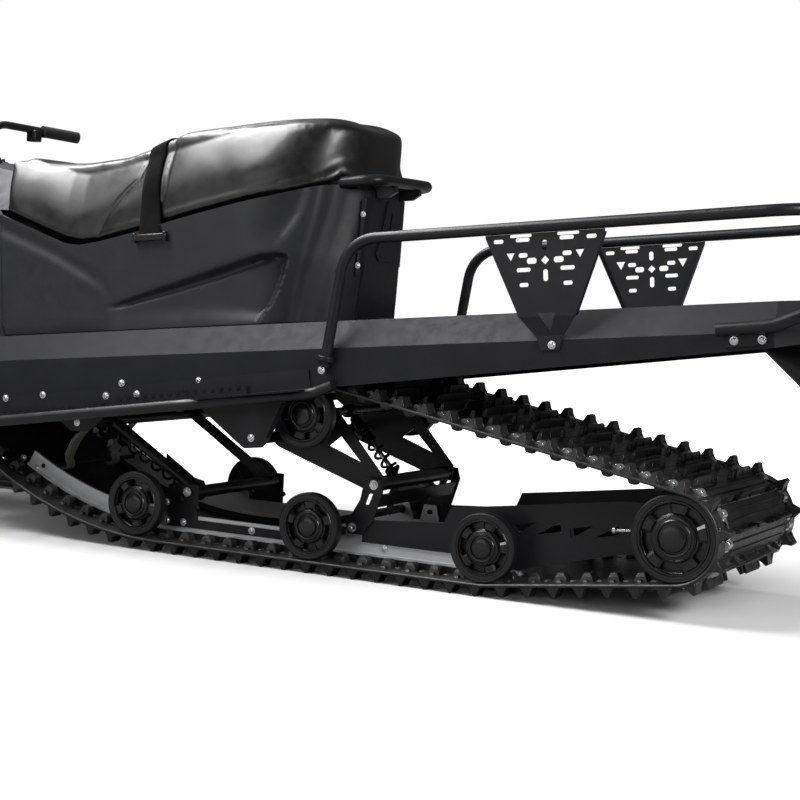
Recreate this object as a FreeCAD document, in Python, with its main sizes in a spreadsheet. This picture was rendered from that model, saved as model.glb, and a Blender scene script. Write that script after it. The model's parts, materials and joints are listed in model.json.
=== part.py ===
"""Utility snowmobile with a wide track, a raised rear luggage rack and front-steered skis.

Row frame: +X points to the rear of the machine, +Y to its right-hand side and +Z up.
The origin lies on the ground, midway along the machine and on its centre line.
All sizes are in millimetres.
"""
import FreeCAD, Part
import Sketcher
import math
import os
from FreeCAD import Placement, Rotation, Vector

DOC = FreeCAD.newDocument("Snowmobile")

# ---------------------------------------------------------------------------
# Driving dimensions
# ---------------------------------------------------------------------------
DIMENSIONS = [
    ("overall_length", 3360, "ski tip to rear bumper"),
    ("seat_gap", 0.3, "clearance between pieces that seat on each other"),
    ("pivot_gap", 0.8, "running clearance round the steering column and kingpins"),
    # track loop
    ("belt_width", 600, "rubber belt, edge to edge"),
    ("belt_thick", 7, "rubber carcass"),
    ("lug_height", 24, "outer lugs"),
    ("lug_pitch", 64, "nominal spacing of lug rows"),
    ("drive_lug_height", 20, "inner drive lugs"),
    ("wheel_radius", 81, "small idler wheels"),
    ("tyre_width", 28, "rubber tread of the small idlers"),
    ("wheel_inset", 10, "belt edge to outer face of the wheels"),
    ("rear_radius", 98, "rear idler wheels"),
    ("rear_tyre_width", 34, "tread of the rear idlers"),
    ("rear_lift", 55, "rise of the belt under the rear idlers"),
    ("front_idler_at", -158, "X of the front idler axle"),
    ("mid_idler_at", 350, "X of the middle idler axle"),
    ("back_idler_at", 809, "X of the third idler axle"),
    ("rear_idler_at", 1260, "X of the rear axle"),
    ("carrier_at", 320, "X of the upper carrier axle"),
    ("carrier_height", 378, "Z of the upper carrier axle"),
    ("driver_at", -686, "X of the drive axle"),
    ("driver_height", 330, "Z of the drive axle"),
    ("axle_radius", 11, "idler axles"),
    # slide rails
    ("rail_spacing", 400, "between the two rail webs"),
    ("rail_web", 8, "rail web thickness"),
    ("rail_flange", 22, "rail flange width"),
    ("rail_flange_thick", 6, "rail flange thickness"),
    ("rail_height", 42, "aluminium rail height"),
    ("slider_height", 15, "plastic slider under the rail"),
    ("slider_width", 20, "plastic slider width"),
    ("rail_curve_at", -79, "X where the rail starts to curve up"),
    ("rail_curve", 1020, "radius of the belt under the rail nose"),
    ("rail_nose_angle", 29, "degrees of the rail nose"),
    ("side_plate", 5, "rear side plate thickness"),
    # tunnel
    ("tunnel_tilt", 5.45, "nose-down angle of the tunnel, degrees"),
    ("tunnel_ref_at", 350, "X of the tunnel reference point"),
    ("tunnel_ref_height", 601, "Z of the tunnel top at the reference point"),
    ("tunnel_half", 330, "tunnel side, from the centre line"),
    ("bevel_in", 40, "bevel width of the tunnel edge"),
    ("bevel_down", 64, "bevel height of the tunnel edge"),
    ("sheet", 3, "sheet metal thickness"),
    ("tunnel_front", -1195, "front end along the tunnel"),
    ("tunnel_back", 1112, "rear end along the tunnel"),
    ("side_depth", 158, "tunnel side depth at the reference point"),
    ("side_taper", 0.0546, "rise of the tunnel's lower edge along it"),
    ("tail_length", 95, "boat-tail behind the tunnel"),
    ("tail_half", 215, "half width of the tail's rear face"),
    # running boards
    ("board_outer", 507, "board edge from the centre line"),
    ("board_front", -1090, "front end of the board"),
    ("board_back", -60, "rear end of the full-width board"),
    ("board_tube_radius", 13, "tube along the board"),
    ("flange_height", 48, "board flange on the tunnel side"),
    # rack
    ("rack_tube_radius", 13, "luggage rack tube"),
    ("rack_half", 343.3, "rack tube from the centre line"),
    ("rack_height", 185, "rack tube above the tunnel top"),
    ("rack_foot_at", 49, "foot of the rack's front leg"),
    ("rack_back", 1205, "rear cross tube of the rack"),
    ("rack_bend", 95, "bend radius of the rack tube"),
    ("plate_at", 612, "middle of the rack's side plates"),
    ("plate_top_width", 282, "side plate, top"),
    ("plate_mid_width", 134, "side plate, at its fold"),
    ("plate_foot_width", 66, "side plate, at its foot"),
    ("plate_fold", -12, "fold of the side plate, from the tunnel top"),
    ("plate_foot", -86, "foot of the side plate, from the tunnel top"),
    ("plate_thick", 3, "side plate"),
    ("plate_out", 342, "inner face of the side plate, from the centre line"),
    ("plate_flange", 12, "folded edges of the side plate"),
    # rear end
    ("bumper_radius", 14, "rear bumper tube"),
    ("flap_thick", 6, "snow flap"),
    ("flap_half", 288, "snow flap half width"),
    ("hitch_pin_radius", 8, "hole in the tow tongue"),
    # seat
    ("seat_half", 276, "seat base half width"),
    ("seat_front", -1000, "front of the seat base along the tunnel"),
    ("seat_back", -5, "rear of the seat base along the tunnel"),
    ("seat_rear_lean", 0.163, "rearward slope of the seat's rear, run per rise"),
    ("seat_tail_half", 98, "half width of the seat base's rear face, at its foot"),
    ("seat_tail_taper", 0.066, "how fast the rear face narrows as it rises"),
    ("pocket_depth", 20, "depth of the sunk side panel at its rear edge"),
    ("seat_frame_thick", 4, "rear seat frame sheet"),
    ("grab_radius", 14, "grab bar tube"),
    ("grab_half", 152, "grab bar half width"),
    ("strap_width", 46, "seat strap"),
    ("strap_thick", 3, "seat strap"),
    # front body
    ("hood_half", 400, "hood half width"),
    ("hood_wall", 5, "moulded hood wall"),
    ("hood_nose_at", -1585, "front of the hood"),
    ("hood_back_at", -1000, "rear of the hood"),
    ("belly_half", 205, "belly pan half width"),
    ("belly_low", 235, "underside of the belly pan"),
    ("shield_thick", 4, "windshield"),
    ("front_bumper_radius", 14, "front bumper tube"),
    # front suspension and steering
    ("spindle_at", -1150, "X of the ski pivot bolt"),
    ("ski_stance", 960, "between the ski centre lines"),
    ("ski_pivot_height", 92, "ski pivot bolt above the ground"),
    ("caster", 20, "rearward lean of the kingpin, degrees"),
    ("arm_radius", 11, "suspension arm tubes"),
    ("spindle_radius", 17, "kingpin tube"),
    ("ski_width", 170, "ski"),
    ("ski_thick", 9, "ski sole"),
    ("ski_tail_at", -775, "rear end of the ski"),
    ("keel_depth", 14, "ski keel"),
    ("ski_loop_radius", 8, "ski tip handle"),
    ("bar_half", 370, "handlebar half width"),
    ("bar_radius", 11, "handlebar tube"),
    ("grip_radius", 17, "hand grips"),
    ("column_radius", 14, "steering column"),
]


def make_sheet():
    """Keeps every driving dimension as an aliased cell of plain numbers."""
    table = DOC.addObject("Spreadsheet::Sheet", "Dims")
    for row, (alias, value, note) in enumerate(DIMENSIONS, start=1):
        table.set("A%d" % row, alias)
        table.set("B%d" % row, str(value))
        table.set("C%d" % row, note)
        table.setAlias("B%d" % row, alias)
    DOC.recompute()
    return table


SHEET = make_sheet()
D = {alias: float(SHEET.get(alias)) for alias, _, _ in DIMENSIONS}
SUBPARTS = []


# ---------------------------------------------------------------------------
# General helpers
# ---------------------------------------------------------------------------
def keep(obj, label, placement=None):
    """Registers a finished object as a sub-part and puts it in place."""
    obj.Label = label
    if placement is not None:
        obj.Placement = placement
    SUBPARTS.append(obj)
    return obj


def feature(label, shape, placement=None):
    """A sub-part whose shape is worked out with Part's own functions."""
    obj = DOC.addObject("Part::Feature", label)
    obj.Shape = shape
    return keep(obj, label, placement)


def tunnel_placement():
    """The tunnel's own frame: u along it to the rear, v to the right, w off its top."""
    origin = Vector(D["tunnel_ref_at"], 0, D["tunnel_ref_height"])
    return Placement(origin, Rotation(Vector(0, 1, 0), -D["tunnel_tilt"]))


def origin_plane(body, role):
    """One of a body's own origin planes."""
    for item in body.Origin.OriginFeatures:
        if item.Role == role:
            return item
    raise ValueError(role)


def add_loop(sketch, points):
    """A closed loop of straight lines, joined end to end."""
    count = len(points)
    first = sketch.GeometryCount
    for i in range(count):
        a, b = points[i], points[(i + 1) % count]
        sketch.addGeometry(Part.LineSegment(Vector(a[0], a[1], 0), Vector(b[0], b[1], 0)), False)
    for i in range(count):
        here, following = first + i, first + (i + 1) % count
        sketch.addConstraint(Sketcher.Constraint("Coincident", here, 2, following, 1))


def add_circle(sketch, centre, radius):
    """A full circle in a sketch."""
    circle = Part.Circle(Vector(centre[0], centre[1], 0), Vector(0, 0, 1), radius)
    sketch.addGeometry(circle, False)


def sketch_on(body, role, offset=0.0):
    """A sketch on one of the body's origin planes, moved off it by offset."""
    sketch = body.newObject("Sketcher::SketchObject", body.Name + "Sketch")
    sketch.AttachmentSupport = [(origin_plane(body, role), "")]
    sketch.MapMode = "FlatFace"
    sketch.AttachmentOffset = Placement(Vector(0, 0, offset), Rotation())
    return sketch


def plate_body(label, outline, holes, near, thick_cell, side=1, placement=None, rounds=()):
    """A flat plate in the XZ plane. Its near face is at y = side * near and it grows outwards."""
    body = DOC.addObject("PartDesign::Body", label)
    sketch = sketch_on(body, "XZ_Plane", -side * near)
    add_loop(sketch, outline)
    for hole in holes:
        add_loop(sketch, hole)
    for centre, radius in rounds:
        add_circle(sketch, centre, radius)
    pad = body.newObject("PartDesign::Pad", label + "Pad")
    pad.Profile = sketch
    pad.setExpression("Length", "Dims." + thick_cell)
    pad.Reversed = side > 0
    DOC.recompute()
    return keep(body, label, placement)


def tube(points, bends, radius):
    """A round tube along straight runs, with a bend of the given radius at each inner point."""
    if not isinstance(bends, (list, tuple)):
        bends = [bends] * (len(points) - 2)
    pieces = []
    start = Vector(points[0])
    for i in range(1, len(points) - 1):
        corner = Vector(points[i])
        back = (Vector(points[i - 1]) - corner).normalize()
        ahead = (Vector(points[i + 1]) - corner).normalize()
        half = back.getAngle(ahead) / 2
        reach = bends[i - 1] / math.tan(half)
        enter = corner + back * reach
        leave = corner + ahead * reach
        centre = corner + (back + ahead).normalize() * (bends[i - 1] / math.sin(half))
        axis = (enter - centre).cross(leave - centre).normalize()
        if (enter - start).Length > 0.01:
            pieces.append(rod(start, enter, radius))
        disc = Part.Face(Part.Wire([Part.Circle(enter, back, radius).toShape()]))
        pieces.append(disc.revolve(centre, axis, 180 - 2 * math.degrees(half)))
        start = leave
    pieces.append(rod(start, Vector(points[-1]), radius))
    return pieces[0].fuse(pieces[1:]) if len(pieces) > 1 else pieces[0]


def rod(a, b, radius):
    """A straight round bar from point a to point b."""
    a, b = Vector(a), Vector(b)
    return Part.makeCylinder(radius, (b - a).Length, a, b - a)


def fuse(shapes):
    """One clean solid from several that overlap."""
    result = shapes[0].fuse(shapes[1:]) if len(shapes) > 1 else shapes[0]
    return result.removeSplitter()


def box(x0, x1, y0, y1, z0, z1):
    """A block between two corners."""
    return Part.makeBox(x1 - x0, y1 - y0, z1 - z0, Vector(x0, y0, z0))


def prism(points, move):
    """A polygon of 3-D points pushed along a vector."""
    corners = [Vector(p) for p in points]
    face = Part.Face(Part.makePolygon(corners + [corners[0]]))
    return face.extrude(Vector(move))


def xz_prism(points, y0, y1):
    """A side-view polygon given thickness from y0 to y1."""
    return prism([(p[0], y0, p[1]) for p in points], (0, y1 - y0, 0))


def loft(wires, ruled=False):
    """A closed solid through several outlines."""
    return Part.makeLoft(wires, True, ruled)


def polygon_wire(points):
    """A closed polygon of 3-D points."""
    corners = [Vector(p) for p in points]
    return Part.makePolygon(corners + [corners[0]])


# ---------------------------------------------------------------------------
# Track loop
# ---------------------------------------------------------------------------
BELT_FLOOR = D["lug_height"] + D["belt_thick"]
WHEEL_Z = BELT_FLOOR + D["seat_gap"] + D["wheel_radius"]
REAR_Z = BELT_FLOOR + D["rear_lift"] + D["seat_gap"] + D["rear_radius"]
EDGE = D["belt_width"] / 2
NOSE_RISE = D["rail_curve"] - D["wheel_radius"] - D["seat_gap"]
NOSE_RUN = D["front_idler_at"] - D["rail_curve_at"]
FRONT_Z = BELT_FLOOR + D["rail_curve"] - math.sqrt(NOSE_RISE ** 2 - NOSE_RUN ** 2)


def loop_circles():
    """Circles that the inside of the belt runs round, anticlockwise seen from the left side."""
    gap = D["seat_gap"]
    return [
        (D["rail_curve_at"], BELT_FLOOR + D["rail_curve"], D["rail_curve"]),
        (D["back_idler_at"], WHEEL_Z, D["wheel_radius"] + gap),
        (D["rear_idler_at"], REAR_Z, D["rear_radius"] + gap),
        (D["carrier_at"], D["carrier_height"], D["wheel_radius"] + gap),
        (D["driver_at"], D["driver_height"], D["wheel_radius"] + gap),
    ]


def loop_spans():
    """The belt's inside line as (kind, data, length): tangent lines, and arcs on the circles."""
    circles = loop_circles()
    count = len(circles)
    angles = []
    for i in range(count):
        x0, z0, r0 = circles[i]
        x1, z1, r1 = circles[(i + 1) % count]
        heading = math.atan2(z1 - z0, x1 - x0)
        spread = math.asin((r0 - r1) / math.hypot(x1 - x0, z1 - z0))
        angles.append(heading - math.pi / 2 + spread)
    spans = []
    for i in range(count):
        x0, z0, r0 = circles[i]
        x1, z1, r1 = circles[(i + 1) % count]
        begin = angles[i - 1]
        sweep = (angles[i] - begin) % (2 * math.pi)
        spans.append(("arc", (x0, z0, r0, begin, sweep), r0 * sweep))
        a = (x0 + r0 * math.cos(angles[i]), z0 + r0 * math.sin(angles[i]))
        b = (x1 + r1 * math.cos(angles[i]), z1 + r1 * math.sin(angles[i]))
        spans.append(("line", (a, b, angles[i]), math.dist(a, b)))
    return spans


SPANS = loop_spans()
LOOP = sum(span[2] for span in SPANS)
ROWS = round(LOOP / D["lug_pitch"])
PITCH = LOOP / ROWS


def on_loop(distance, offset):
    """The point at a distance along the loop and an offset outwards from the belt's inside."""
    left = distance % LOOP
    for kind, data, length in SPANS:
        if left > length:
            left -= length
            continue
        if kind == "arc":
            x, z, r, begin, _ = data
            angle = begin + left / r
            return Vector(x + (r + offset) * math.cos(angle), 0, z + (r + offset) * math.sin(angle))
        (ax, az), (bx, bz), angle = data
        t = left / length
        return Vector(ax + (bx - ax) * t + offset * math.cos(angle), 0,
                      az + (bz - az) * t + offset * math.sin(angle))
    return on_loop(0, offset)


def toothed_wire(base, tip, root_width, tip_width):
    """The loop at offset base, with a tooth out to offset tip on every row."""
    edges = []
    rows = range(ROWS) if tip != base else []
    stops = []
    for row in rows:
        centre = (row + 0.5) * PITCH
        stops.append((centre - root_width / 2, centre + root_width / 2, centre))
    if not stops:
        stops = [(i * LOOP / 48, i * LOOP / 48, 0) for i in range(48)]
    for i, (enter, leave, centre) in enumerate(stops):
        if leave > enter:
            corners = [on_loop(enter, base), on_loop(centre - tip_width / 2, tip),
                       on_loop(centre + tip_width / 2, tip), on_loop(leave, base)]
            for a, b in zip(corners, corners[1:]):
                edges.append(Part.LineSegment(a, b).toShape())
        following = stops[(i + 1) % len(stops)][0]
        if following <= leave:
            following += LOOP
        edges += run_edges(leave, following, base)
    return Part.Wire(edges)


def run_edges(begin, end, offset):
    """Lines and arcs of the loop at an offset, between two distances along it."""
    marks = [begin]
    total = 0.0
    for turn in range(3):
        for _, _, length in SPANS:
            total += length
            if begin + 0.5 < total < end - 0.5:
                marks.append(total)
    marks.append(end)
    edges = []
    for a, b in zip(marks, marks[1:]):
        p, m, q = on_loop(a, offset), on_loop((a + b) / 2, offset), on_loop(b, offset)
        flat = (p + q) * 0.5
        if (m - flat).Length < 0.02:
            edges.append(Part.LineSegment(p, q).toShape())
        else:
            edges.append(Part.Arc(p, m, q).toShape())
    return edges


def ring_strip(outer, inner, y0, y1):
    """The belt between two side-view outlines, from y0 to y1."""
    face = Part.Face([outer, inner])
    if face.Area < 0 or not face.isValid():
        face = Part.Face(outer).cut(Part.Face(inner)).Faces[0]
    strip = face.extrude(Vector(0, y1 - y0, 0))
    strip.translate(Vector(0, y0, 0))
    return strip


LUG_ROOT = 26
LUG_TIP = 12
DRIVE_ROOT = 28
DRIVE_TIP = 16
DRIVE_LUG = (214, 246)


def track():
    """One rubber loop: a lug across it on every row outside, and a pair of drive lugs inside."""
    thick, high = D["belt_thick"], D["lug_height"]
    smooth_in = toothed_wire(0, 0, 0, 0)
    drive_in = toothed_wire(0, -D["drive_lug_height"], DRIVE_ROOT, DRIVE_TIP)
    lugs_out = toothed_wire(thick, thick + high, LUG_ROOT, LUG_TIP)
    strips = [ring_strip(lugs_out, smooth_in, -DRIVE_LUG[0], DRIVE_LUG[0])]
    for side in (-1, 1):
        strips.append(ring_strip(lugs_out, drive_in, *sorted([side * DRIVE_LUG[0], side * DRIVE_LUG[1]])))
        strips.append(ring_strip(lugs_out, smooth_in, *sorted([side * DRIVE_LUG[1], side * EDGE])))
    feature("track", fuse(strips))


# ---------------------------------------------------------------------------
# Slide rails, wheels and skid
# ---------------------------------------------------------------------------
def rail_band(low, high, back):
    """Side-view face between two heights above the belt, from the curved nose to X = back."""
    x0, r0 = D["rail_curve_at"], D["rail_curve"]
    zc = BELT_FLOOR + r0
    end = math.radians(D["rail_nose_angle"])

    def at(radius, angle):
        return Vector(x0 - radius * math.sin(angle), 0, zc - radius * math.cos(angle))

    ra, rb = r0 - low, r0 - high
    edges = [
        Part.Arc(at(ra, end), at(ra, end / 2), at(ra, 0)).toShape(),
        Part.LineSegment(at(ra, 0), Vector(back, 0, zc - ra)).toShape(),
        Part.LineSegment(Vector(back, 0, zc - ra), Vector(back, 0, zc - rb)).toShape(),
        Part.LineSegment(Vector(back, 0, zc - rb), at(rb, 0)).toShape(),
        Part.Arc(at(rb, 0), at(rb, end / 2), at(rb, end)).toShape(),
        Part.LineSegment(at(rb, end), at(ra, end)).toShape(),
    ]
    return Part.Face(Part.Wire(edges))


def band_solid(face, y0, y1):
    """A side-view face given thickness from y0 to y1."""
    solid = face.extrude(Vector(0, y1 - y0, 0))
    solid.translate(Vector(0, y0, 0))
    return solid


RAIL_BACK = 872
SLIDER_BACK = 796
EAR_TOP = 18


def rail_ear(at, axle_z, half_top, half_foot, y0, y1):
    """A raised lug of the rail that carries a cross shaft."""
    foot = BELT_FLOOR + D["slider_height"] + D["rail_height"] - 8
    return xz_prism([(at - half_foot, foot), (at - half_top, axle_z + EAR_TOP),
                     (at + half_top, axle_z + EAR_TOP), (at + half_foot, foot)], y0, y1)


IDLERS = [(D["front_idler_at"], FRONT_Z), (D["mid_idler_at"], WHEEL_Z), (D["back_idler_at"], WHEEL_Z)]
FRONT_ARM_LOW = (-42, 148)
LINK_LOW = (434, 112)
NOSE_ROD = (-515, 172)


def rails():
    """Aluminium slide rails with ears for the cross shafts, and the plastic sliders under them."""
    gap = D["seat_gap"]
    low = gap + D["slider_height"] + gap
    high = low + D["rail_height"]
    mid = D["rail_spacing"] / 2
    web = D["rail_web"] / 2
    for name, side in (("left", -1), ("right", 1)):
        c = side * mid
        parts = [band_solid(rail_band(low, high, RAIL_BACK), c - web, c + web)]
        half = D["rail_flange"] / 2
        parts.append(band_solid(rail_band(low, low + D["rail_flange_thick"], RAIL_BACK), c - half, c + half))
        for at, axle_z in IDLERS:
            parts.append(rail_ear(at, axle_z, 20, 36, c - web, c + web))
        parts.append(rail_ear(LINK_LOW[0], LINK_LOW[1], 18, 30, c - web, c + web))
        rail = fuse(parts)
        holes = [(at, axle_z, D["axle_radius"]) for at, axle_z in IDLERS]
        holes.append((LINK_LOW[0], LINK_LOW[1], 6))
        holes.append((NOSE_ROD[0], NOSE_ROD[1], 6))
        for x, z, r in holes:
            rail = rail.cut(rod((x, c - 20, z), (x, c + 20, z), r + gap))
        feature("rail_" + name, rail)
        slider = band_solid(rail_band(gap, gap + D["slider_height"], SLIDER_BACK),
                            c - D["slider_width"] / 2, c + D["slider_width"] / 2)
        feature("slider_" + name, slider)


def arm_mounts():
    """Black side plates bolted along the rails, which rise to carry the front arm."""
    near = D["rail_spacing"] / 2 + D["rail_web"] / 2 + D["seat_gap"]
    floor = BELT_FLOOR + D["slider_height"] + D["rail_flange_thick"] + 6
    top = BELT_FLOOR + D["slider_height"] + D["rail_height"] - 8
    x, z = FRONT_ARM_LOW
    outline = [(x - 69, floor), (x - 69, z + 14), (x - 55, z + 20), (x + 22, z + 20), (x + 22, top),
               (x + 340, top), (x + 340, floor)]
    for name, side in (("left", -1), ("right", 1)):
        lo, hi = sorted([side * near, side * (near + 4)])
        plate = xz_prism(outline, lo, hi)
        plate = plate.cut(rod((x, lo - 1, z), (x, hi + 1, z), 8 + D["seat_gap"]))
        plate = plate.cut(rod((x - 29, lo - 1, z - 20), (x - 29, hi + 1, z - 20), 7))
        feature("arm_mount_" + name, plate)


def revolve(profile, x, z):
    """A solid turned about a cross axis at (x, z), from (radius, y) points."""
    corners = [Vector(r, y, 0) for r, y in profile]
    face = Part.Face(Part.makePolygon(corners + [corners[0]]))
    solid = face.revolve(Vector(0, 0, 0), Vector(0, 1, 0), 360)
    solid.translate(Vector(x, 0, z))
    return solid


def wheel(x, z, radius, outer, width, side, bore):
    """An idler wheel: rubber tread, a web with six windows and a hub. Its outer face is at y = side * outer."""
    rim = radius - 15
    profile = [
        (bore, -5), (20, -5), (27, 0), (27, 8), (rim, 8), (rim, 0), (radius, 0), (radius, width),
        (rim, width), (rim, 14), (27, 14), (27, width + 4), (bore, width + 4),
    ]
    turned = revolve([(r, side * (outer - y)) for r, y in profile], x, z)
    low, high = 33.0, rim - 5
    lo, hi = sorted([side * (outer - 6), side * (outer - 16)])
    windows = []
    for k in range(6):
        corners = []
        for r, spread in ((low, 19), (high, 23), (high, -23), (low, -19)):
            angle = math.radians(60 * k + 30 + spread)
            corners.append((x + r * math.cos(angle), z + r * math.sin(angle)))
        windows.append(xz_prism(corners, lo, hi))
    return turned.cut(Part.makeCompound(windows))


def idler_set(label, x, z, radius, outer, width, middle=False):
    """A cross shaft with a wheel near each edge of the track."""
    shaft = D["axle_radius"]
    parts = [rod((x, -outer - 6, z), (x, outer + 6, z), shaft)]
    for side in (-1, 1):
        parts.append(wheel(x, z, radius, outer, width, side, shaft - 1))
    if middle:
        parts.append(revolve([(shaft - 1, -14), (radius, -14), (radius, 14), (shaft - 1, 14)], x, z))
    feature(label, fuse(parts))


def wheels():
    """The five sets of idler wheels, and the drive axle at the front of the loop."""
    outer = EDGE - D["wheel_inset"]
    for label, (at, axle_z) in zip(("idler_wheels_front", "idler_wheels_middle", "idler_wheels_back"), IDLERS):
        idler_set(label, at, axle_z, D["wheel_radius"], outer, D["tyre_width"])
    idler_set("idler_wheels_rear", D["rear_idler_at"], REAR_Z, D["rear_radius"], outer,
              D["rear_tyre_width"], middle=True)
    idler_set("carrier_wheels", D["carrier_at"], D["carrier_height"], D["wheel_radius"], outer,
              D["tyre_width"])
    x, z = D["driver_at"], D["driver_height"]
    inside = D["tunnel_half"] - D["sheet"] - D["seat_gap"]
    parts = [rod((x, -inside, z), (x, inside, z), 16)]
    for side in (-1, 1):
        c = side * sum(DRIVE_LUG) / 2
        parts.append(rod((x, c - 15, z), (x, c + 15, z), D["wheel_radius"] - D["drive_lug_height"]))
    feature("drive_axle", fuse(parts))


def shift(points, dx=350):
    """Side-view points given from the middle idler's axle."""
    return [(x + dx, z) for x, z in points]


def rear_plates():
    """Black side plates that carry the rear axle, with four triangular openings each."""
    outline = shift([(106, 78), (106, 132), (322, 147), (338, 186), (470, 203), (766, 243), (860, 244),
                     (935, 215), (948, 185), (935, 160), (880, 138), (796, 127), (764, 124),
                     (512, 58), (486, 66), (470, 78)])
    holes = [shift(h) for h in (
        [(501, 162), (557, 175), (514, 146)],
        [(559, 147), (614, 179), (620, 158)],
        [(638, 169), (697, 181), (643, 147)],
        [(699, 154), (754, 186), (758, 167)],
    )]
    near = D["rail_spacing"] / 2 + D["rail_web"] / 2 + D["seat_gap"]
    rounds = [((D["rear_idler_at"], REAR_Z), D["axle_radius"] + D["seat_gap"]),
              ((D["back_idler_at"], WHEEL_Z), D["axle_radius"] + D["seat_gap"])]
    for name, side in (("left", -1), ("right", 1)):
        plate_body("rear_plate_" + name, outline, holes, near, "side_plate", side, rounds=rounds)


LINK_NEAR = D["rail_spacing"] / 2 + D["rail_web"] / 2 + D["side_plate"] + 2 * D["seat_gap"]
ARM_TOP = (210, 312)
ARM_LOW = (475, 218)
FRONT_ARM_TOP = (-310, 310)
SHOCK_TOP = (-590, 338)


def skid_arms():
    """Front and rear suspension arms, the rear link and the two shocks."""
    gap = D["seat_gap"]
    outline = shift([(-166, 300), (-160, 332), (-70, 402), (-8, 408), (20, 380), (146, 240), (144, 204),
                     (112, 200), (-150, 286)])
    hole = shift([(27, 326), (86, 267), (-5, 300)])
    parts = []
    for side in (-1, 1):
        lo, hi = sorted([side * 190, side * 195])
        plate = xz_prism(outline, lo, hi).cut(xz_prism(hole, lo - 1, hi + 1))
        parts.append(plate)
    parts.append(rod((ARM_TOP[0], -D["tunnel_half"], ARM_TOP[1]), (ARM_TOP[0], D["tunnel_half"], ARM_TOP[1]), 14))
    parts.append(rod((ARM_LOW[0], -195, ARM_LOW[1]), (ARM_LOW[0], 195, ARM_LOW[1]), 18))
    arm = fuse(parts)
    cx, cz = D["carrier_at"], D["carrier_height"]
    arm = arm.cut(rod((cx, -250, cz), (cx, 250, cz), D["axle_radius"] + gap))
    for side in (-1, 1):
        arm = arm.cut(rod((ARM_LOW[0], side * 180, ARM_LOW[1]), (ARM_LOW[0], side * 240, ARM_LOW[1]), 8 + gap))
    feature("rear_arm", arm)
    link = shift([(110, 236), (150, 232), (158, 204), (136, 133), (106, 96), (70, 96), (62, 118), (98, 180)])
    slot = shift([(121, 196), (133, 198), (123, 170), (112, 170)])
    parts = []
    for side in (-1, 1):
        lo, hi = sorted([side * LINK_NEAR, side * (LINK_NEAR + D["side_plate"])])
        parts.append(xz_prism(link, lo, hi).cut(xz_prism(slot, lo - 1, hi + 1)))
        lo, hi = sorted([side * 185, side * 222])
        parts.append(rod((ARM_LOW[0], lo, ARM_LOW[1]), (ARM_LOW[0], hi, ARM_LOW[1]), 8))
        lo, hi = sorted([side * 190, side * 222])
        parts.append(rod((LINK_LOW[0], lo, LINK_LOW[1]), (LINK_LOW[0], hi, LINK_LOW[1]), 6))
    bar = shift([(128, 168), (143, 165), (152, 196), (148, 197), (140, 170), (132, 172), (137, 190), (134, 191)])
    parts.append(xz_prism(bar, -LINK_NEAR - 1, LINK_NEAR + 1))
    feature("rear_link", fuse(parts))
    a, b = FRONT_ARM_TOP, FRONT_ARM_LOW
    parts = [rod((a[0], -D["tunnel_half"], a[1]), (a[0], D["tunnel_half"], a[1]), 14)]
    parts.append(rod((b[0], -195, b[1]), (b[0], 195, b[1]), 15))
    for side in (-1, 1):
        parts.append(rod((a[0], side * 185, a[1]), (b[0], side * 178, b[1]), 14))
        parts.append(rod((b[0], side * 180, b[1]), (b[0], side * 212, b[1]), 8))
    feature("front_arm", fuse(parts))
    front = shock(SHOCK_TOP, 0, IDLERS[0], D["axle_radius"], 0)
    inside = D["tunnel_half"] - D["sheet"] - gap
    shaft = rod((SHOCK_TOP[0], -inside, SHOCK_TOP[1]), (SHOCK_TOP[0], inside, SHOCK_TOP[1]), 10)
    feature("skid_shock_front", front.fuse(shaft))
    rear = shock((D["carrier_at"], D["carrier_height"]), D["axle_radius"], ARM_LOW, 18, -60)
    feature("skid_shock_rear", rear)


def shock(top, top_tube, low, low_tube, y):
    """A damper with its spring, whose eyes ride on two cross tubes; a tube of 0 leaves that eye solid."""
    gap = D["seat_gap"]
    t, l = Vector(top[0], y, top[1]), Vector(low[0], y, low[1])
    run = (l - t).normalize()
    length = (l - t).Length
    parts = [rod(t, l, 9), rod(t + run * 36, t + run * (length * 0.34), 17)]
    parts.append(rod(t + run * (length * 0.34), t + run * (length - 36), 23))
    for centre, tube_r in ((t, top_tube), (l, low_tube)):
        parts.append(rod(centre - Vector(0, 14, 0), centre + Vector(0, 14, 0), max(tube_r, 10) + 5))
    body = fuse(parts)
    for centre, tube_r in ((t, top_tube), (l, low_tube)):
        if tube_r > 0:
            body = body.cut(rod(centre - Vector(0, 40, 0), centre + Vector(0, 40, 0), tube_r + gap))
    return body


def ribbon(points, thick):
    """Side-view outline of a band along a line of points, of even thickness."""
    sides = [[], []]
    count = len(points)
    for i, (x, z) in enumerate(points):
        before, after = points[max(i - 1, 0)], points[min(i + 1, count - 1)]
        dx, dz = after[0] - before[0], after[1] - before[1]
        size = math.hypot(dx, dz)
        for k, sign in ((0, 1), (1, -1)):
            sides[k].append((x - sign * dz / size * thick / 2, z + sign * dx / size * thick / 2))
    return sides[0] + sides[1][::-1]


def strap_pair():
    """Two webbing limiter straps from the front arm to a rod between the rail noses."""
    x, z = NOSE_ROD
    parts = [rod((x, -206, z), (x, 206, z), 6)]
    top_x, top_z = FRONT_ARM_TOP
    line = [(x - 7.8, z - 16), (x - 7.8, z + 4), (x + 14, z + 64), (x + 48, z + 124), (top_x - 50, top_z + 20),
            (top_x - 14, top_z + 16), (top_x + 12, top_z + 15.8)]
    for side in (-1, 1):
        lo, hi = sorted([side * 82, side * 120])
        parts.append(xz_prism(ribbon(line, 3), lo, hi))
    feature("limiter_straps", Part.makeCompound(parts))


# ---------------------------------------------------------------------------
# Tunnel, boards and rear rack
# ---------------------------------------------------------------------------
TUNNEL = tunnel_placement()


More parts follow.
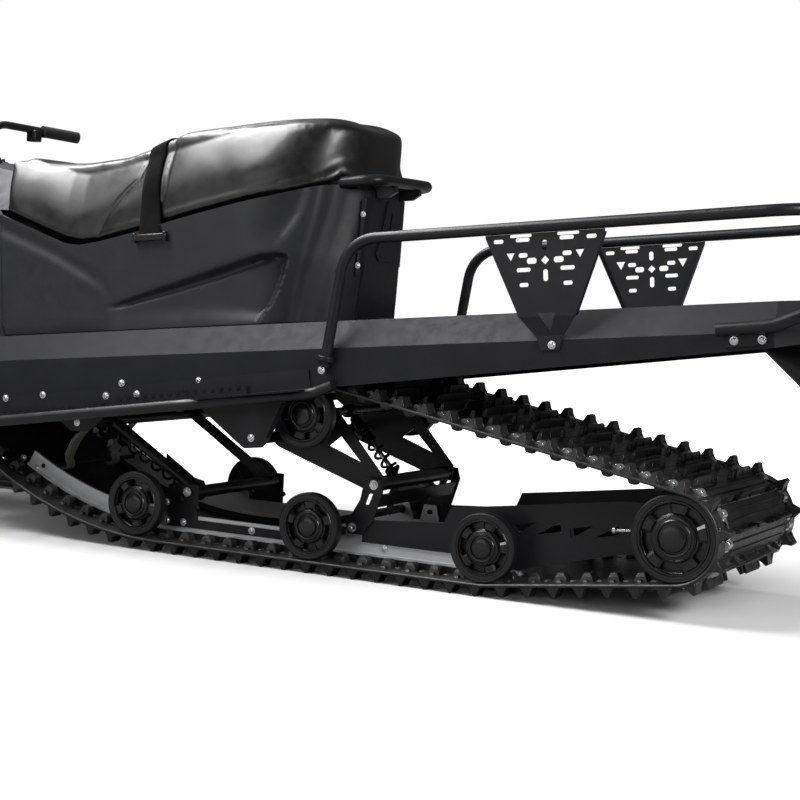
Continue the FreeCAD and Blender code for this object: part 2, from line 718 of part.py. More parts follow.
def lower_edge(u):
    """Height of the tunnel's lower edge at u, in the tunnel's frame."""
    return -D["side_depth"] + D["side_taper"] * u


def channel_points(half, top, drop, low):
    """Half-open tunnel section at one station: (v, w) of the outer skin."""
    bevel = D["bevel_in"]
    return [(-half, low), (-half, top - drop), (-half + bevel, top), (half - bevel, top), (half, top - drop), (half, low)]


def channel_wire(u, half, top, drop, low):
    """The same section as a closed wire in the tunnel's frame."""
    return polygon_wire([(u, v, w) for v, w in channel_points(half, top, drop, low)])


def tunnel():
    """Bevelled sheet-metal tunnel that tapers towards the rear, with a boat-tail."""
    half, drop, skin = D["tunnel_half"], D["bevel_down"], D["sheet"]
    front, back = D["tunnel_front"], D["tunnel_back"]
    outer = loft([channel_wire(front, half, 0, drop, lower_edge(front)),
                  channel_wire(back, half, 0, drop, lower_edge(back))], True)
    inner = loft([channel_wire(front + skin, half - skin, -skin, drop, lower_edge(front) - 5),
                  channel_wire(back + 1, half - skin, -skin, drop, lower_edge(back) - 5)], True)
    tail = back + D["tail_length"]
    narrow = D["tail_half"]
    rear_outer = loft([channel_wire(back, half, 0, drop, lower_edge(back)),
                       channel_wire(tail, narrow, 0, drop, lower_edge(back) + 12)], True)
    rear_inner = loft([channel_wire(back - 1, half - skin, -skin, drop, lower_edge(back) - 5),
                       channel_wire(tail - skin, narrow - skin, -skin, drop, lower_edge(back) + 2)], True)
    shell = fuse([outer.cut(inner), rear_outer.cut(rear_inner)])
    feature("tunnel", shell, TUNNEL)


def board_placement():
    """Frame of the running boards: along the tunnel's lower edge."""
    lean = math.degrees(math.atan(D["side_taper"]))
    local = Placement(Vector(0, 0, -D["side_depth"]), Rotation(Vector(0, 1, 0), -lean))
    return TUNNEL.multiply(local)


def boards():
    """Running boards: edge tube, perforated foot rest and the flange on the tunnel side."""
    place = board_placement()
    side_at = D["tunnel_half"] + D["seat_gap"]
    front, back = D["board_front"], D["board_back"]
    out = D["board_outer"]
    r = D["board_tube_radius"]
    for name, side in (("left", -1), ("right", 1)):
        def y(v):
            return side * v
        deck = prism([(front, y(side_at), -4), (front, y(out), -4), (back - 140, y(out), -4),
                      (back + 60, y(side_at + 60), -4), (back + 60, y(side_at), -4)], (0, 0, 4))
        for i in range(9):
            a = front + 60 + i * 100
            lo, hi = sorted([y(side_at + 28), y(out - 26)])
            deck = deck.cut(box(a, a + 62, lo, hi, -10, 10))
        lo, hi = sorted([y(side_at), y(side_at + 3)])
        flange = box(front, back + 60, lo, hi, -4, D["flange_height"])
        path = [(front, y(out), -r), (back - 160, y(out), -r), (back + 70, y(side_at + r), -r + 2),
                (back + 128, y(side_at + r), 4)]
        rail = tube(path, [150, 60], r)
        feature("running_board_" + name, fuse([deck, flange, rail]), place)


def under_board(x):
    """Height of the foot rest's underside, just clear of it, at a place along the machine."""
    tilt = math.radians(D["tunnel_tilt"])
    depth = D["side_depth"] + 4 + 2 * D["seat_gap"]
    u = (x - D["tunnel_ref_at"] - depth * math.sin(tilt)) / (math.cos(tilt) - D["side_taper"] * math.sin(tilt))
    w = -depth + D["side_taper"] * u
    return D["tunnel_ref_height"] + u * math.sin(tilt) + w * math.cos(tilt)


def arm_brackets():
    """Plates on the tunnel sides that hold the upper pivots of both skid arms."""
    near = D["tunnel_half"] + D["seat_gap"]
    x, z = ARM_TOP
    rear = [(x - 150, under_board(x - 150)), (x + 100, under_board(x + 100)), (x + 95, z + 104), (x + 48, z),
            (x + 28, z - 18), (x - 20, z - 24), (x - 40, z - 12), (x - 146, z + 60)]
    x, z = FRONT_ARM_TOP
    fore = [(x - 80, under_board(x - 80)), (x + 110, under_board(x + 110)), (x + 50, z - 10), (x + 20, z - 22),
            (x - 20, z - 22)]
    for name, side in (("left", -1), ("right", 1)):
        lo, hi = sorted([side * near, side * (near + 4)])
        plate = xz_prism(rear, lo, hi)
        for a, b in ((rear[0], rear[-1]), (rear[2], rear[3])):
            run = Vector(b[0] - a[0], 0, b[1] - a[1])
            start = Vector(a[0], side * near, a[1]) + run * 0.12
            across = run.cross(Vector(0, 1, 0)).normalize() * (3 if a is rear[0] else -3)
            strip = [start, start + run * 0.8, start + run * 0.8 + across, start + across]
            plate = plate.fuse(prism([(p.x, p.y, p.z) for p in strip], (0, side * 24, 0)))
        feature("arm_brackets_" + name, Part.makeCompound([plate, xz_prism(fore, lo, hi)]))


def rack():
    """Luggage rack: one bent tube round three sides, standing on the tunnel by its front legs."""
    v, w = D["rack_half"], D["rack_height"]
    foot, back, bend = D["rack_foot_at"], D["rack_back"], D["rack_bend"]
    low, knee = -95, 118
    path = [(foot, -v, low), (knee, -v, w), (back, -v, w), (back, v, w), (knee, v, w), (foot, v, low)]
    hoop = tube(path, bend, D["rack_tube_radius"])
    r = D["rack_tube_radius"] - 0.01
    collars = [rod((foot - 3, s * v, low - 12), (foot + 3, s * v, low + 16), r) for s in (-1, 1)]
    feature("rack_tube", fuse([hoop] + collars), TUNNEL)


def slot_points(cx, cz, length, width, turn=0.0):
    """A slot as an eight-sided outline, turned by an angle in degrees."""
    a, b = length / 2, width / 2
    k = b * 0.55
    raw = [(-a, -b + k), (-a + k, -b), (a - k, -b), (a, -b + k), (a, b - k), (a - k, b), (-a + k, b), (-a, b - k)]
    t = math.radians(turn)
    return [(cx + px * math.cos(t) - pz * math.sin(t), cz + px * math.sin(t) + pz * math.cos(t)) for px, pz in raw]


def plate_holes(c):
    """Tie-down openings of a rack plate about its middle c: slots, two triangles and a diamond."""
    holes = []
    for side in (-1, 1):
        for out, height, length, width in (
                (110, 157, 24, 9), (52, 158, 34, 9), (52, 124, 22, 10), (32, 111, 24, 13),
                (52, 92, 34, 9), (52, 59, 22, 9), (56, 167, 52, 7)):
            holes.append(slot_points(c + side * out, height, length, width))
        mid = c + side * 82
        holes.append([(mid - 12, 133), (mid + 12, 133), (mid, 112)])
    for height, length in ((144, 22), (78, 26)):
        holes.append(slot_points(c, height, length, 12, 90))
    holes.append([(c, 121), (c + 10, 111), (c, 101), (c - 10, 111)])
    return holes


def rack_plates():
    """Side plates under the rack tube: folded edges, tie-down slots, and a joggle in to the tunnel."""
    c = D["plate_at"]
    top = D["rack_height"] - D["rack_tube_radius"] - D["seat_gap"]
    a, b, f = D["plate_top_width"] / 2, D["plate_mid_width"] / 2, D["plate_foot_width"] / 2
    fold, foot = D["plate_fold"], D["plate_foot"]
    bend = fold - 42
    thick = D["plate_thick"]
    out = D["plate_out"]
    near = D["tunnel_half"] + D["seat_gap"]
    outline = [(c - a, top), (c - a, top - 6), (c - b, fold), (c + b, fold), (c + a, top - 6), (c + a, top)]
    gusset = [(c - 22, fold + 8), (c + 20, fold + 8), (c + 4, bend + 4)]
    for name, side in (("left", -1), ("right", 1)):
        lo, hi = sorted([side * out, side * (out + thick)])
        plate = xz_prism(outline, lo, hi)
        for hole in plate_holes(c):
            plate = plate.cut(xz_prism(hole, lo - 1, hi + 1))
        slope = [(c - b, side * out, fold), (c + b, side * out, fold),
                 (c + f, side * near, bend), (c - f, side * near, bend)]
        parts = [plate, prism(slope, (0, side * thick, 0))]
        lo, hi = sorted([side * near, side * (near + thick)])
        parts.append(xz_prism([(c - f, bend), (c - f + 12, foot), (c + f - 12, foot), (c + f, bend)], lo, hi))
        for end in (-1, 1):
            edge = [(c + end * a, top - 6), (c + end * b, fold), (c + end * (b - thick), fold)]
            edge.append((c + end * (a - thick), top - 6))
            lo, hi = sorted([side * (out - D["plate_flange"]), side * (out + 1)])
            parts.append(xz_prism(edge, lo, hi))
        lo, hi = sorted([side * (near - 5), side * (out + thick + 5)])
        feature("rack_plate_" + name, fuse(parts).cut(xz_prism(gusset, lo, hi)), TUNNEL)


def rear_end():
    """Rear bumper, snow flap and tow hitch."""
    tilt = math.radians(D["tunnel_tilt"])
    r = D["bumper_radius"]
    lift = 18
    plate = 4
    end = (D["overall_length"] / 2 - r - D["tunnel_ref_at"] + lift * math.sin(tilt)) / math.cos(tilt)
    near = D["tunnel_half"] + D["seat_gap"]
    v = near + plate + r - 0.5
    b = D["tunnel_back"]
    path = [(b - 116, -v, -56), (b + 8, -v, -52), (end, -v + 30, lift), (end, v - 30, lift), (b + 8, v, -52),
            (b - 116, v, -56)]
    parts = [tube(path, [120, 90, 90, 120], r)]
    for side in (-1, 1):
        lo, hi = sorted([side * near, side * (near + plate)])
        parts.append(xz_prism([(b - 104, -94), (b - 98, -50), (b - 20, -48), (b - 14, -90)], lo, hi))
    feature("rear_bumper", fuse(parts), TUNNEL)
    thick = D["flap_thick"]
    top = -D["bevel_down"] - 6
    low = lower_edge(b)
    line = [(b - 46, top), (b - 34, low - 2), (b + 40, low - 79), (b + 72, low - 140), (b + 92, low - 215),
            (b + 100, low - 300)]
    hanger = D["tunnel_half"] - D["sheet"] - D["seat_gap"]
    flap = [xz_prism(ribbon(line, thick), -D["flap_half"], D["flap_half"])]
    flap.append(rod((b - 46, -hanger, top - 8), (b - 46, hanger, top - 8), 9))
    feature("snow_flap", fuse(flap), TUNNEL)
    face = D["tunnel_back"] + D["tail_length"] + D["seat_gap"]
    tongue = box(face, face + 84, -30, 30, -64, -50)
    tongue = tongue.fuse(box(face, face + 8, -30, 30, -64, -6))
    tongue = tongue.cut(rod((face + 54, 0, -80), (face + 54, 0, -30), D["hitch_pin_radius"]))
    feature("tow_hitch", tongue, TUNNEL)


# ---------------------------------------------------------------------------
# Seat
# ---------------------------------------------------------------------------
SEAT_LINE = [(-1000, 338), (-956, 320), (-859, 278), (-754, 233), (-706, 225), (-636, 231), (-518, 249), (-390, 273),
             (-271, 292), (-155, 310), (-76, 326), (-23, 334), (90, 342)]
CUSHION_TOP = [(-950, 478), (-870, 442), (-736, 432), (-600, 438), (-500, 462), (-420, 484), (-200, 492), (10, 490),
               (64, 470), (90, 420)]
POCKET_FRONT = -600
POCKET_BACK = -88


def seat_rear(w):
    """Place along the tunnel of the seat base's rear face, at height w."""
    return D["seat_back"] + D["seat_rear_lean"] * w


def seat_tail(w):
    """Half width of the rear face at height w."""
    return D["seat_tail_half"] - D["seat_tail_taper"] * w


def seat_wire(inset, w):
    """The seat's plan outline at height w, moved in by inset: straight sides that curve in to the rear face."""
    front, back = D["seat_front"] + inset, seat_rear(w) - inset
    half, tail = D["seat_half"] - inset, seat_tail(w) - inset * 0.5
    turn = D["seat_back"] - 230
    near = [(front, -half + 40), (front + 40, -half), (turn, -half)]
    far = [(turn, half), (front + 40, half), (front, half - 40), (front, -half + 40)]
    edges = [Part.LineSegment(Vector(*a, w), Vector(*b, w)).toShape() for a, b in zip(near, near[1:])]
    bends = []
    for side in (-1, 1):
        curve = Part.BezierCurve()
        poles = [(turn, side * half), (back - 75, side * half), (back - 22, side * half * 0.62), (back, side * tail)]
        curve.setPoles([Vector(*pole, w) for pole in (poles if side < 0 else poles[::-1])])
        bends.append(curve.toShape())
    edges += [bends[0], Part.LineSegment(Vector(back, -tail, w), Vector(back, tail, w)).toShape(), bends[1]]
    edges += [Part.LineSegment(Vector(*a, w), Vector(*b, w)).toShape() for a, b in zip(far, far[1:])]
    return Part.Wire(edges)


def seat_plan(inset, low, high):
    """The seat's plan outline as a leaning solid between two heights."""
    return loft([seat_wire(inset, low), seat_wire(inset, high)], True)


def under_seat_line(drop, low):
    """A side-view block from height low up to the seat line less drop."""
    upper = [(u, w - drop) for u, w in SEAT_LINE]
    return xz_prism(upper + [(SEAT_LINE[-1][0], low), (SEAT_LINE[0][0], low)], -400, 400)


def pockets(grow):
    """The sunk triangular panels of both seat sides, which deepen towards the rear."""
    front, back = POCKET_FRONT - 4 * grow, POCKET_BACK + 1.5 * grow
    outline = [(front, 64), (-127, 176 + 1.3 * grow), (back, 158 + 1.3 * grow), (-165 + 1.5 * grow, 11), (-165, -20),
               (front - 20, -20)]
    half = D["seat_half"]
    solids = []
    for side in (-1, 1):
        lo, hi = sorted([side * (half + 20), side * (half - 60)])
        wedge = prism([(front, side * (half - grow), -30), (back, side * (half - grow - D["pocket_depth"]), -30),
                       (back, side * (half + 20), -30), (front, side * (half + 20), -30)], (0, 0, 300))
        solids.append(xz_prism(outline, lo, hi).common(wedge))
    return solids


def seat():
    """Moulded seat base, padded cushion and strap."""
    gap = D["seat_gap"]
    wall = D["hood_wall"]
    base = seat_plan(0, gap, 440).common(under_seat_line(0, gap))
    hollow = seat_plan(wall, -5, 440).common(under_seat_line(wall, -5))
    for pocket in pockets(wall):
        hollow = hollow.cut(pocket)
    base = base.cut(hollow)
    for pocket in pockets(0):
        base = base.cut(pocket)
    lower = [(u, w + gap) for u, w in reversed(SEAT_LINE[1:])]
    cushion = seat_plan(8, 200, 560).common(xz_prism(CUSHION_TOP + lower, -400, 400))
    for leg in grab_legs(D["grab_radius"] + gap):
        base = base.cut(leg)
        cushion = cushion.cut(leg)
    feature("seat_base", base.removeSplitter(), TUNNEL)
    feature("seat_cushion", cushion.removeSplitter(), TUNNEL)
    u, half, thick = -485, D["seat_half"] + gap, D["strap_thick"]
    run = D["strap_width"] / 2
    raised = [(a, b + gap) for a, b in CUSHION_TOP]
    over = xz_prism([(a, b + thick) for a, b in raised] + [(0, 226), (-960, 226)], -half - thick, half + thick)
    under = xz_prism(raised + [(0, 200), (-960, 200)], -half, half)
    feature("seat_strap", over.cut(under).common(box(u - run, u + run, -400, 400, 200, 600)), TUNNEL)


GRAB_FRONT = -28
GRAB_BACK = 100
GRAB_AT = 340


def grab_legs(radius):
    """The two straight runs of the grab bar that enter the seat."""
    half = D["grab_half"]
    return [rod((GRAB_FRONT - 1, s * half, GRAB_AT), (GRAB_BACK, s * half, GRAB_AT), radius) for s in (-1, 1)]


def seat_back_end():
    """The metal frame on the seat's rear face, and the grab bar that it carries."""
    gap, thick = D["seat_gap"], D["seat_frame_thick"]
    foot, head = gap, 322
    face = [(seat_rear(w) + gap, side * seat_tail(w), w) for side, w in ((-1, foot), (1, foot), (1, head), (-1, head))]
    parts = [prism(face, (thick, 0, 0))]
    inner = [(-4, 300), (-24, 205), (-40, 168), (-22, 150), (seat_tail(150) - 4, 150), (seat_tail(300) - 4, 300)]
    plate = prism([(seat_rear(w) + gap + thick, y, w) for y, w in inner], (thick, 0, 0))
    slot = [(17, 272), (26, 272), (22, 212), (13, 212)]
    plate = plate.cut(prism([(seat_rear(w), y, w) for y, w in slot], (3 * thick, 0, 0)))
    parts.append(plate)
    low, high = 140, 305
    for side in (-1, 1):
        tail, back = seat_tail(low), seat_rear(low) + gap
        strip = [(back + thick, side * tail, low), (back - 2, side * (tail + 24), low),
                 (back - 2 - thick / 2, side * (tail + 24), low), (back, side * tail, low)]
        rise = high - low
        parts.append(prism(strip, (D["seat_rear_lean"] * rise, -side * D["seat_tail_taper"] * rise, rise)))
    feature("seat_rear_frame", fuse(parts), TUNNEL)
    half, r = D["grab_half"], D["grab_radius"]
    path = [(GRAB_FRONT, -half, GRAB_AT), (GRAB_BACK, -half, GRAB_AT), (GRAB_BACK, half, GRAB_AT),
            (GRAB_FRONT, half, GRAB_AT)]
    near = seat_rear(head) + gap + thick + gap
    side_view = [(near, head - 19), (near, GRAB_AT - 8), (GRAB_BACK + 8, GRAB_AT - 8), (GRAB_BACK + 8, head - 8),
                 (GRAB_BACK - 14, head - 19)]
    arms = [xz_prism(side_view, s * 62 - 6, s * 62 + 6) for s in (-1, 1)]
    feature("grab_bar", fuse([tube(path, [50, 50], r)] + arms), TUNNEL)


# ---------------------------------------------------------------------------
# Front body
# ---------------------------------------------------------------------------
STATIONS = [
    # X, half width, lower height, upper height
    (-1590, 120, 500, 640),
    (-1490, 262, 405, 790),
    (-1310, 350, 335, 905),
    (-1130, 388, 318, 962),
    (-1000, 376, 322, 985),
    (-848, 352, 300, 975),
]


def body_section(x, half, low, high, inset):
    """The front body's angular outline at one station, moved in by inset."""
    half, low, high = half - inset, low + inset, high - inset
    tall = high - low
    side = [(0.26, 1.0), (0.60, 0.93), (0.88, 0.72), (1.0, 0.50), (0.97, 0.36), (0.74, 0.12), (0.40, 0.0)]
    right = [Vector(x, half * a, low + tall * b) for a, b in side]
    left = [Vector(x, -half * a, low + tall * b) for a, b in reversed(side)]
    return right + left


def facet_solid(rings):
    """A closed solid with flat triangular faces between rings of corners, and flat ends."""
    faces = [Part.Face(Part.makePolygon(ring + [ring[0]])) for ring in (rings[0], rings[-1])]
    count = len(rings[0])
    for near, far in zip(rings, rings[1:]):
        for i in range(count):
            j = (i + 1) % count
            quads = [(near[i], near[j], far[j]), (near[i], far[j], far[i])]
            if i >= count // 2:
                quads = [(near[i], near[j], far[i]), (near[j], far[j], far[i])]
            for corners in quads:
                faces.append(Part.Face(Part.makePolygon(list(corners) + [corners[0]])))
    solid = Part.Solid(Part.Shell(faces))
    if solid.Volume < 0:
        solid.reverse()
    return solid


def body_loft(inset, ends):
    """The front body's solid, moved in by inset, with its end stations moved by ends."""
    rings = []
    last = len(STATIONS) - 1
    for i, (x, half, low, high) in enumerate(STATIONS):
        move = ends[0] if i == 0 else (ends[1] if i == last else 0)
        rings.append(body_section(x + move, half, low, high, inset))
    return facet_solid(rings)


WALL = D["hood_wall"]
BODY_OUT = body_loft(0, (0, 0))
BODY_IN = body_loft(WALL, (WALL, 3))
BODY_CLEAR = body_loft(-D["seat_gap"], (-D["seat_gap"], D["seat_gap"]))
COLUMN_LOW = Vector(-1120, 0, 700)
COLUMN_TOP = Vector(-965, 0, 1065)
LAMP_RADIUS = 38
LAMPS = [((-1575, s * 110, 690), (-1480, s * 110, 706)) for s in (-1, 1)]


def front_body():
    """Hood, side panels and belly pan, cut from one hollow moulding."""
    gap = D["seat_gap"]
    shell = BODY_OUT.cut(BODY_IN)
    seam, sill = 640, 430
    hood = shell.common(box(-1700, D["hood_back_at"], -500, 500, seam, 1100))
    for a, b in LAMPS:
        hood = hood.cut(rod(a, b, LAMP_RADIUS + gap))
    hood = hood.cut(rod(COLUMN_LOW, COLUMN_TOP, D["column_radius"] + D["pivot_gap"]))
    feature("hood", hood)
    for name, side in (("left", -1), ("right", 1)):
        lo, hi = sorted([side * gap, side * 500])
        panel = shell.common(box(-1700, -800, lo, hi, sill, seam - gap))
        feature("side_panel_" + name, panel)
    feature("belly_pan", shell.common(box(-1700, -800, -500, 500, 200, sill - gap)))
    block = BODY_IN.common(box(-1330, -1006, -170, 170, 200, 640))
    small = body_loft(WALL + gap, (WALL, 0))
    feature("engine_block", block.common(small))


def tunnel_top(x):
    """Height of the tunnel's top at a place along the machine."""
    return D["tunnel_ref_height"] + (x - D["tunnel_ref_at"]) * math.tan(math.radians(D["tunnel_tilt"]))


def console():
    """Tank cover and dash between the seat and the hood, open round the steering column."""
    gap = D["seat_gap"]
    wall = 6
    stations = [(D["hood_back_at"] + gap, 290, 975), (-900, 250, 985), (-780, 200, 960), (-640, 170, 935)]
    outer, inner = [], []
    for i, (x, half, high) in enumerate(stations):
        low = tunnel_top(x) + 2 * gap
        move = wall if i == 0 else (-wall - 36 if i == len(stations) - 1 else 0)
        outer.append(console_section(x, half, high, low))
        inner.append(console_section(x + move, half - wall, high - wall, low - 10))
    shell = facet_solid(outer).cut(facet_solid(inner))
    seat = box(D["seat_front"] - gap, 0, -500, 500, -50, 700)
    seat.Placement = TUNNEL
    shell = shell.cut(seat)
    shell = shell.cut(rod(COLUMN_LOW, COLUMN_TOP, D["column_radius"] + D["pivot_gap"]))
    feature("console", shell)


def console_section(x, half, high, low):
    """A chamfered box section of the console."""
    side = [(half, low), (half, high - 150), (half * 0.55, high)]
    return [Vector(x, v, w) for v, w in side] + [Vector(x, -v, w) for v, w in reversed(side)]


def windshield():
    """A curved screen, thin and bowed."""
    t = D["shield_thick"]

    def ring(z, x_mid, x_end, half):
        shares = [-1.0, -0.78, -0.4, 0.0, 0.4, 0.78, 1.0]
        front = [Vector(x_mid + (x_end - x_mid) * k * k, half * k, z) for k in shares]
        return front + [Vector(p.x + t, p.y * 0.995, z) for p in reversed(front)]

    sheet = facet_solid([ring(700, -1500, -1330, 335), ring(1250, -1290, -1180, 290), ring(1440, -1215, -1130, 215)])
    feature("windshield", sheet.cut(BODY_CLEAR))


def front_bumper():
    """A bent tube in front of the nose."""
    r = D["front_bumper_radius"]
    path = [(-1470, -230, 470), (-1625, -200, 500), (-1625, 200, 500), (-1470, 230, 470)]
    upper = [(-1500, -120, 640), (-1625, -110, 620), (-1625, 110, 620), (-1500, 120, 640)]
    posts = [rod((-1625, s * 90, 500), (-1625, s * 90, 620), r - 3) for s in (-1, 1)]
    feature("front_bumper", fuse([tube(path, 60, r), tube(upper, 40, r)] + posts).cut(BODY_CLEAR))


def headlights():
    """Two lamps in the hood's face."""
    lamps = [rod(a, b, LAMP_RADIUS) for a, b in LAMPS]
    feature("headlights", Part.makeCompound(lamps))


# ---------------------------------------------------------------------------
# Steering and skis
# ---------------------------------------------------------------------------
CASTER = math.radians(D["caster"])


def kingpin(distance, side):
    """A point on the kingpin axis, at a distance up from the ski bolt."""
    return Vector(D["spindle_at"] + distance * math.sin(CASTER), side * D["ski_stance"] / 2,
                  D["ski_pivot_height"] + distance * math.cos(CASTER))


def front_arms():
    """Double A-arms that end in two bosses round the kingpin, and the ski shocks."""
    for name, side in (("left", -1), ("right", 1)):
        parts = []
        for start, root_z, root_y, spread in ((130, 290, 190, 110), (262, 400, 250, 110)):
            a, b = kingpin(start, side), kingpin(start + 34, side)
            mid = (a + b) * 0.5
            boss = rod(a, b, D["spindle_radius"] + 9)
            parts.append(boss)
            for dx in (-spread, spread):
                parts.append(rod((mid.x + dx, side * root_y, root_z), (mid.x, mid.y - side * 10, mid.z), D["arm_radius"]))
        low_mid = kingpin(147, side)
        seat_y = low_mid.y - side * 90
        seat_z = low_mid.z + 60 * 80 / 270
        parts.append(rod((low_mid.x - 36, seat_y, seat_z), (low_mid.x + 36, seat_y, seat_z), 10))
        arm = fuse(parts)
        arm = arm.cut(rod(kingpin(100, side), kingpin(340, side), D["spindle_radius"] + D["pivot_gap"])).cut(BODY_CLEAR)
        feature("front_arms_" + name, arm)
        top = Vector(-985, side * 240, 560)
        low = Vector(low_mid.x, seat_y, seat_z)
        run = (top - low).normalize()
        damper = fuse([rod(low, top, 9), rod(low + run * 40, low + run * ((top - low).Length - 10), 24)])
        cross = rod((low.x - 60, low.y, low.z), (low.x + 60, low.y, low.z), 10 + D["seat_gap"])
        damper = damper.cut(BODY_CLEAR).cut(cross)
        feature("front_shock_" + name, max(damper.Solids, key=lambda solid: solid.Volume))


def spindles():
    """Kingpins with a steering arm on top and a foot for the ski bolt."""
    r = D["spindle_radius"]
    for name, side in (("left", -1), ("right", 1)):
        top = kingpin(314, side)
        pin = rod(kingpin(30, side), kingpin(326, side), r)
        foot = rod(kingpin(0, side) - Vector(0, 18, 0), kingpin(0, side) + Vector(0, 18, 0), 24)
        leg = rod(kingpin(0, side), kingpin(60, side), r)
        arm = prism([(top.x - 8, top.y - 12, top.z), (top.x - 8, top.y + 12, top.z),
                     (top.x + 90, top.y + 12 - side * 16, top.z), (top.x + 90, top.y - 12 - side * 16, top.z)], (0, 0, 10))
        body = fuse([pin, foot, leg, arm])
        body = body.cut(rod(kingpin(0, side) - Vector(0, 40, 0), kingpin(0, side) + Vector(0, 40, 0), 8.5))
        feature("spindle_" + name, body)


def skis():
    """Plastic skis with a keel, a saddle for the bolt and a tip handle."""
    low = D["keel_depth"]
    t = D["ski_thick"]
    tail, half = D["ski_tail_at"], D["ski_width"] / 2
    front = -D["overall_length"] / 2
    x0 = -1380
    for name, side in (("left", -1), ("right", 1)):
        c = side * D["ski_stance"] / 2
        bottom = [(tail, low + 14), (tail - 60, low), (x0, low), (x0 - 90, low + 10), (x0 - 180, low + 52),
                  (front, low + 186)]
        upper = [(x, z + t) for x, z in reversed(bottom)]
        sole = xz_prism(bottom + upper, c - half, c + half)
        taper = prism([(tail + 1, c - half, -50), (tail + 1, c + half, -50), (x0, c + half, -50),
                       (front + 40, c + 46, -50), (front, c + 26, -50), (front, c - 26, -50), (front + 40, c - 46, -50),
                       (x0, c - half, -50)], (0, 0, 400))
        sole = sole.common(taper)
        keel = xz_prism([(tail - 120, low + 2), (tail - 180, 0), (x0 + 30, 0), (x0 - 60, low + 6)], c - 9, c + 9)
        lugs = []
        px, pz = D["spindle_at"], D["ski_pivot_height"]
        for s in (-1, 1):
            lo, hi = sorted([c + s * 24, c + s * 30])
            lugs.append(xz_prism([(px - 90, low + t - 1), (px - 26, pz + 20), (px + 26, pz + 20), (px + 90, low + t - 1)],
                                 lo, hi))
        bolt = rod((px, c - 34, pz), (px, c + 34, pz), 8)
        loop = [(front + 34, c, low + 172), (front + 90, c, low + 190), (x0 - 40, c, low + 60), (x0 - 30, c, low + 12)]
        handle = tube(loop, [26, 40], D["ski_loop_radius"])
        feature("ski_" + name, fuse([sole, keel, bolt, handle] + lugs))


def steering():
    """Handlebar on an inclined column."""
    run = (COLUMN_TOP - COLUMN_LOW).normalize()
    column = rod(COLUMN_LOW, COLUMN_TOP, D["column_radius"])
    half = D["bar_half"]
    c = COLUMN_TOP
    bar = tube([(c.x + 70, -half, c.z + 20), (c.x - 10, -130, c.z + 36), (c.x, 0, c.z - 6), (c.x - 10, 130, c.z + 36),
                (c.x + 70, half, c.z + 20)], [60, 80, 60], D["bar_radius"])
    feature("handlebar", fuse([column, bar]))
    grips = []
    for side in (-1, 1):
        a = Vector(c.x + 70, side * half, c.z + 20)
        b = Vector(c.x - 10, side * 130, c.z + 36)
        run = (b - a).normalize()
        grip = rod(a - run * 2, a + run * 120, D["grip_radius"])
        grips.append(grip.cut(rod(a - run, a + run * 121, D["bar_radius"] + 0.1)))
    feature("hand_grips", Part.makeCompound(grips))


# ---------------------------------------------------------------------------
# Build everything
# ---------------------------------------------------------------------------
def build():
    """Makes every sub-part."""
    track()
    rails()
    arm_mounts()
    wheels()
    rear_plates()
    skid_arms()
    strap_pair()
    tunnel()
    boards()
    arm_brackets()
    rack()
    rack_plates()
    rear_end()
    seat()
    seat_back_end()
    front_body()
    console()
    windshield()
    front_bumper()
    headlights()
    front_arms()
    spindles()
    skis()
    steering()


def export():
    """Checks each sub-part and writes it as STEP."""
    os.makedirs("parts", exist_ok=True)
    DOC.recompute()
    for obj in DOC.Objects:
        if "Invalid" in obj.State or "Error" in obj.State:
            raise RuntimeError("not built: " + obj.Name)
    for obj in SUBPARTS:
        shape = obj.Shape
        if shape.isNull() or not shape.isValid():
            raise RuntimeError("bad shape: " + obj.Label)
        placed = Part.Shape(shape)
        placed.exportStep("parts/%s.step" % obj.Label)


build()
export()
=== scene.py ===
# %% [markdown]
# # Utility snowmobile
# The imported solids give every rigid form: tunnel, rails, arms, rack, seat base and body.
# This lesson dresses them. It lays a lugged rubber track round the skid, turns the wheels,
# winds the springs, pads the seat, sets the fasteners, and then lights a plain studio.

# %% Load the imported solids
import json
import math

import bmesh
import bpy
import numpy as np
from mathutils import Matrix, Vector
from mathutils.bvhtree import BVHTree

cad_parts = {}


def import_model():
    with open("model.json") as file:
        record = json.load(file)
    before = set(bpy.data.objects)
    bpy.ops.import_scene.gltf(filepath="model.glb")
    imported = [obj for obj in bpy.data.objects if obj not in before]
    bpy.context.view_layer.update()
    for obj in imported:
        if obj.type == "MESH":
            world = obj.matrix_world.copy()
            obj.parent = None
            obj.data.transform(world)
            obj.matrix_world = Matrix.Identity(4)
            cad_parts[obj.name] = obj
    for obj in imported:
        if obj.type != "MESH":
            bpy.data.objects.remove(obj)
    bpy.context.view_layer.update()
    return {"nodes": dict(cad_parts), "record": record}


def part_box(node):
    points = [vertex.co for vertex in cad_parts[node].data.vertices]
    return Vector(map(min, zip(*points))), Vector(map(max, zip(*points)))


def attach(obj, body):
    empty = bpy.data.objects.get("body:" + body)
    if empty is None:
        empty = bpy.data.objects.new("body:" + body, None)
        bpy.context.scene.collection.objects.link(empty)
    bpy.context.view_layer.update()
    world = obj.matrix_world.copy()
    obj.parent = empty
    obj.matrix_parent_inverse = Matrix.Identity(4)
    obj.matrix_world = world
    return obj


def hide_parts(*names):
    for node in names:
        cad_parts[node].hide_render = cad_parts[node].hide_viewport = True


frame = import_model()
NODES = frame["nodes"]
MM = 0.001

# %% [markdown]
# ## Two frames
# The tunnel and all that is bolted to it lean nose-down by 5.45 degrees. Places on it could
# be given straight in the row frame, but then no number would say that two bolts sit level on
# a panel. So they are given along the tunnel (u), across it (v) and square to its top (w),
# and turned once.

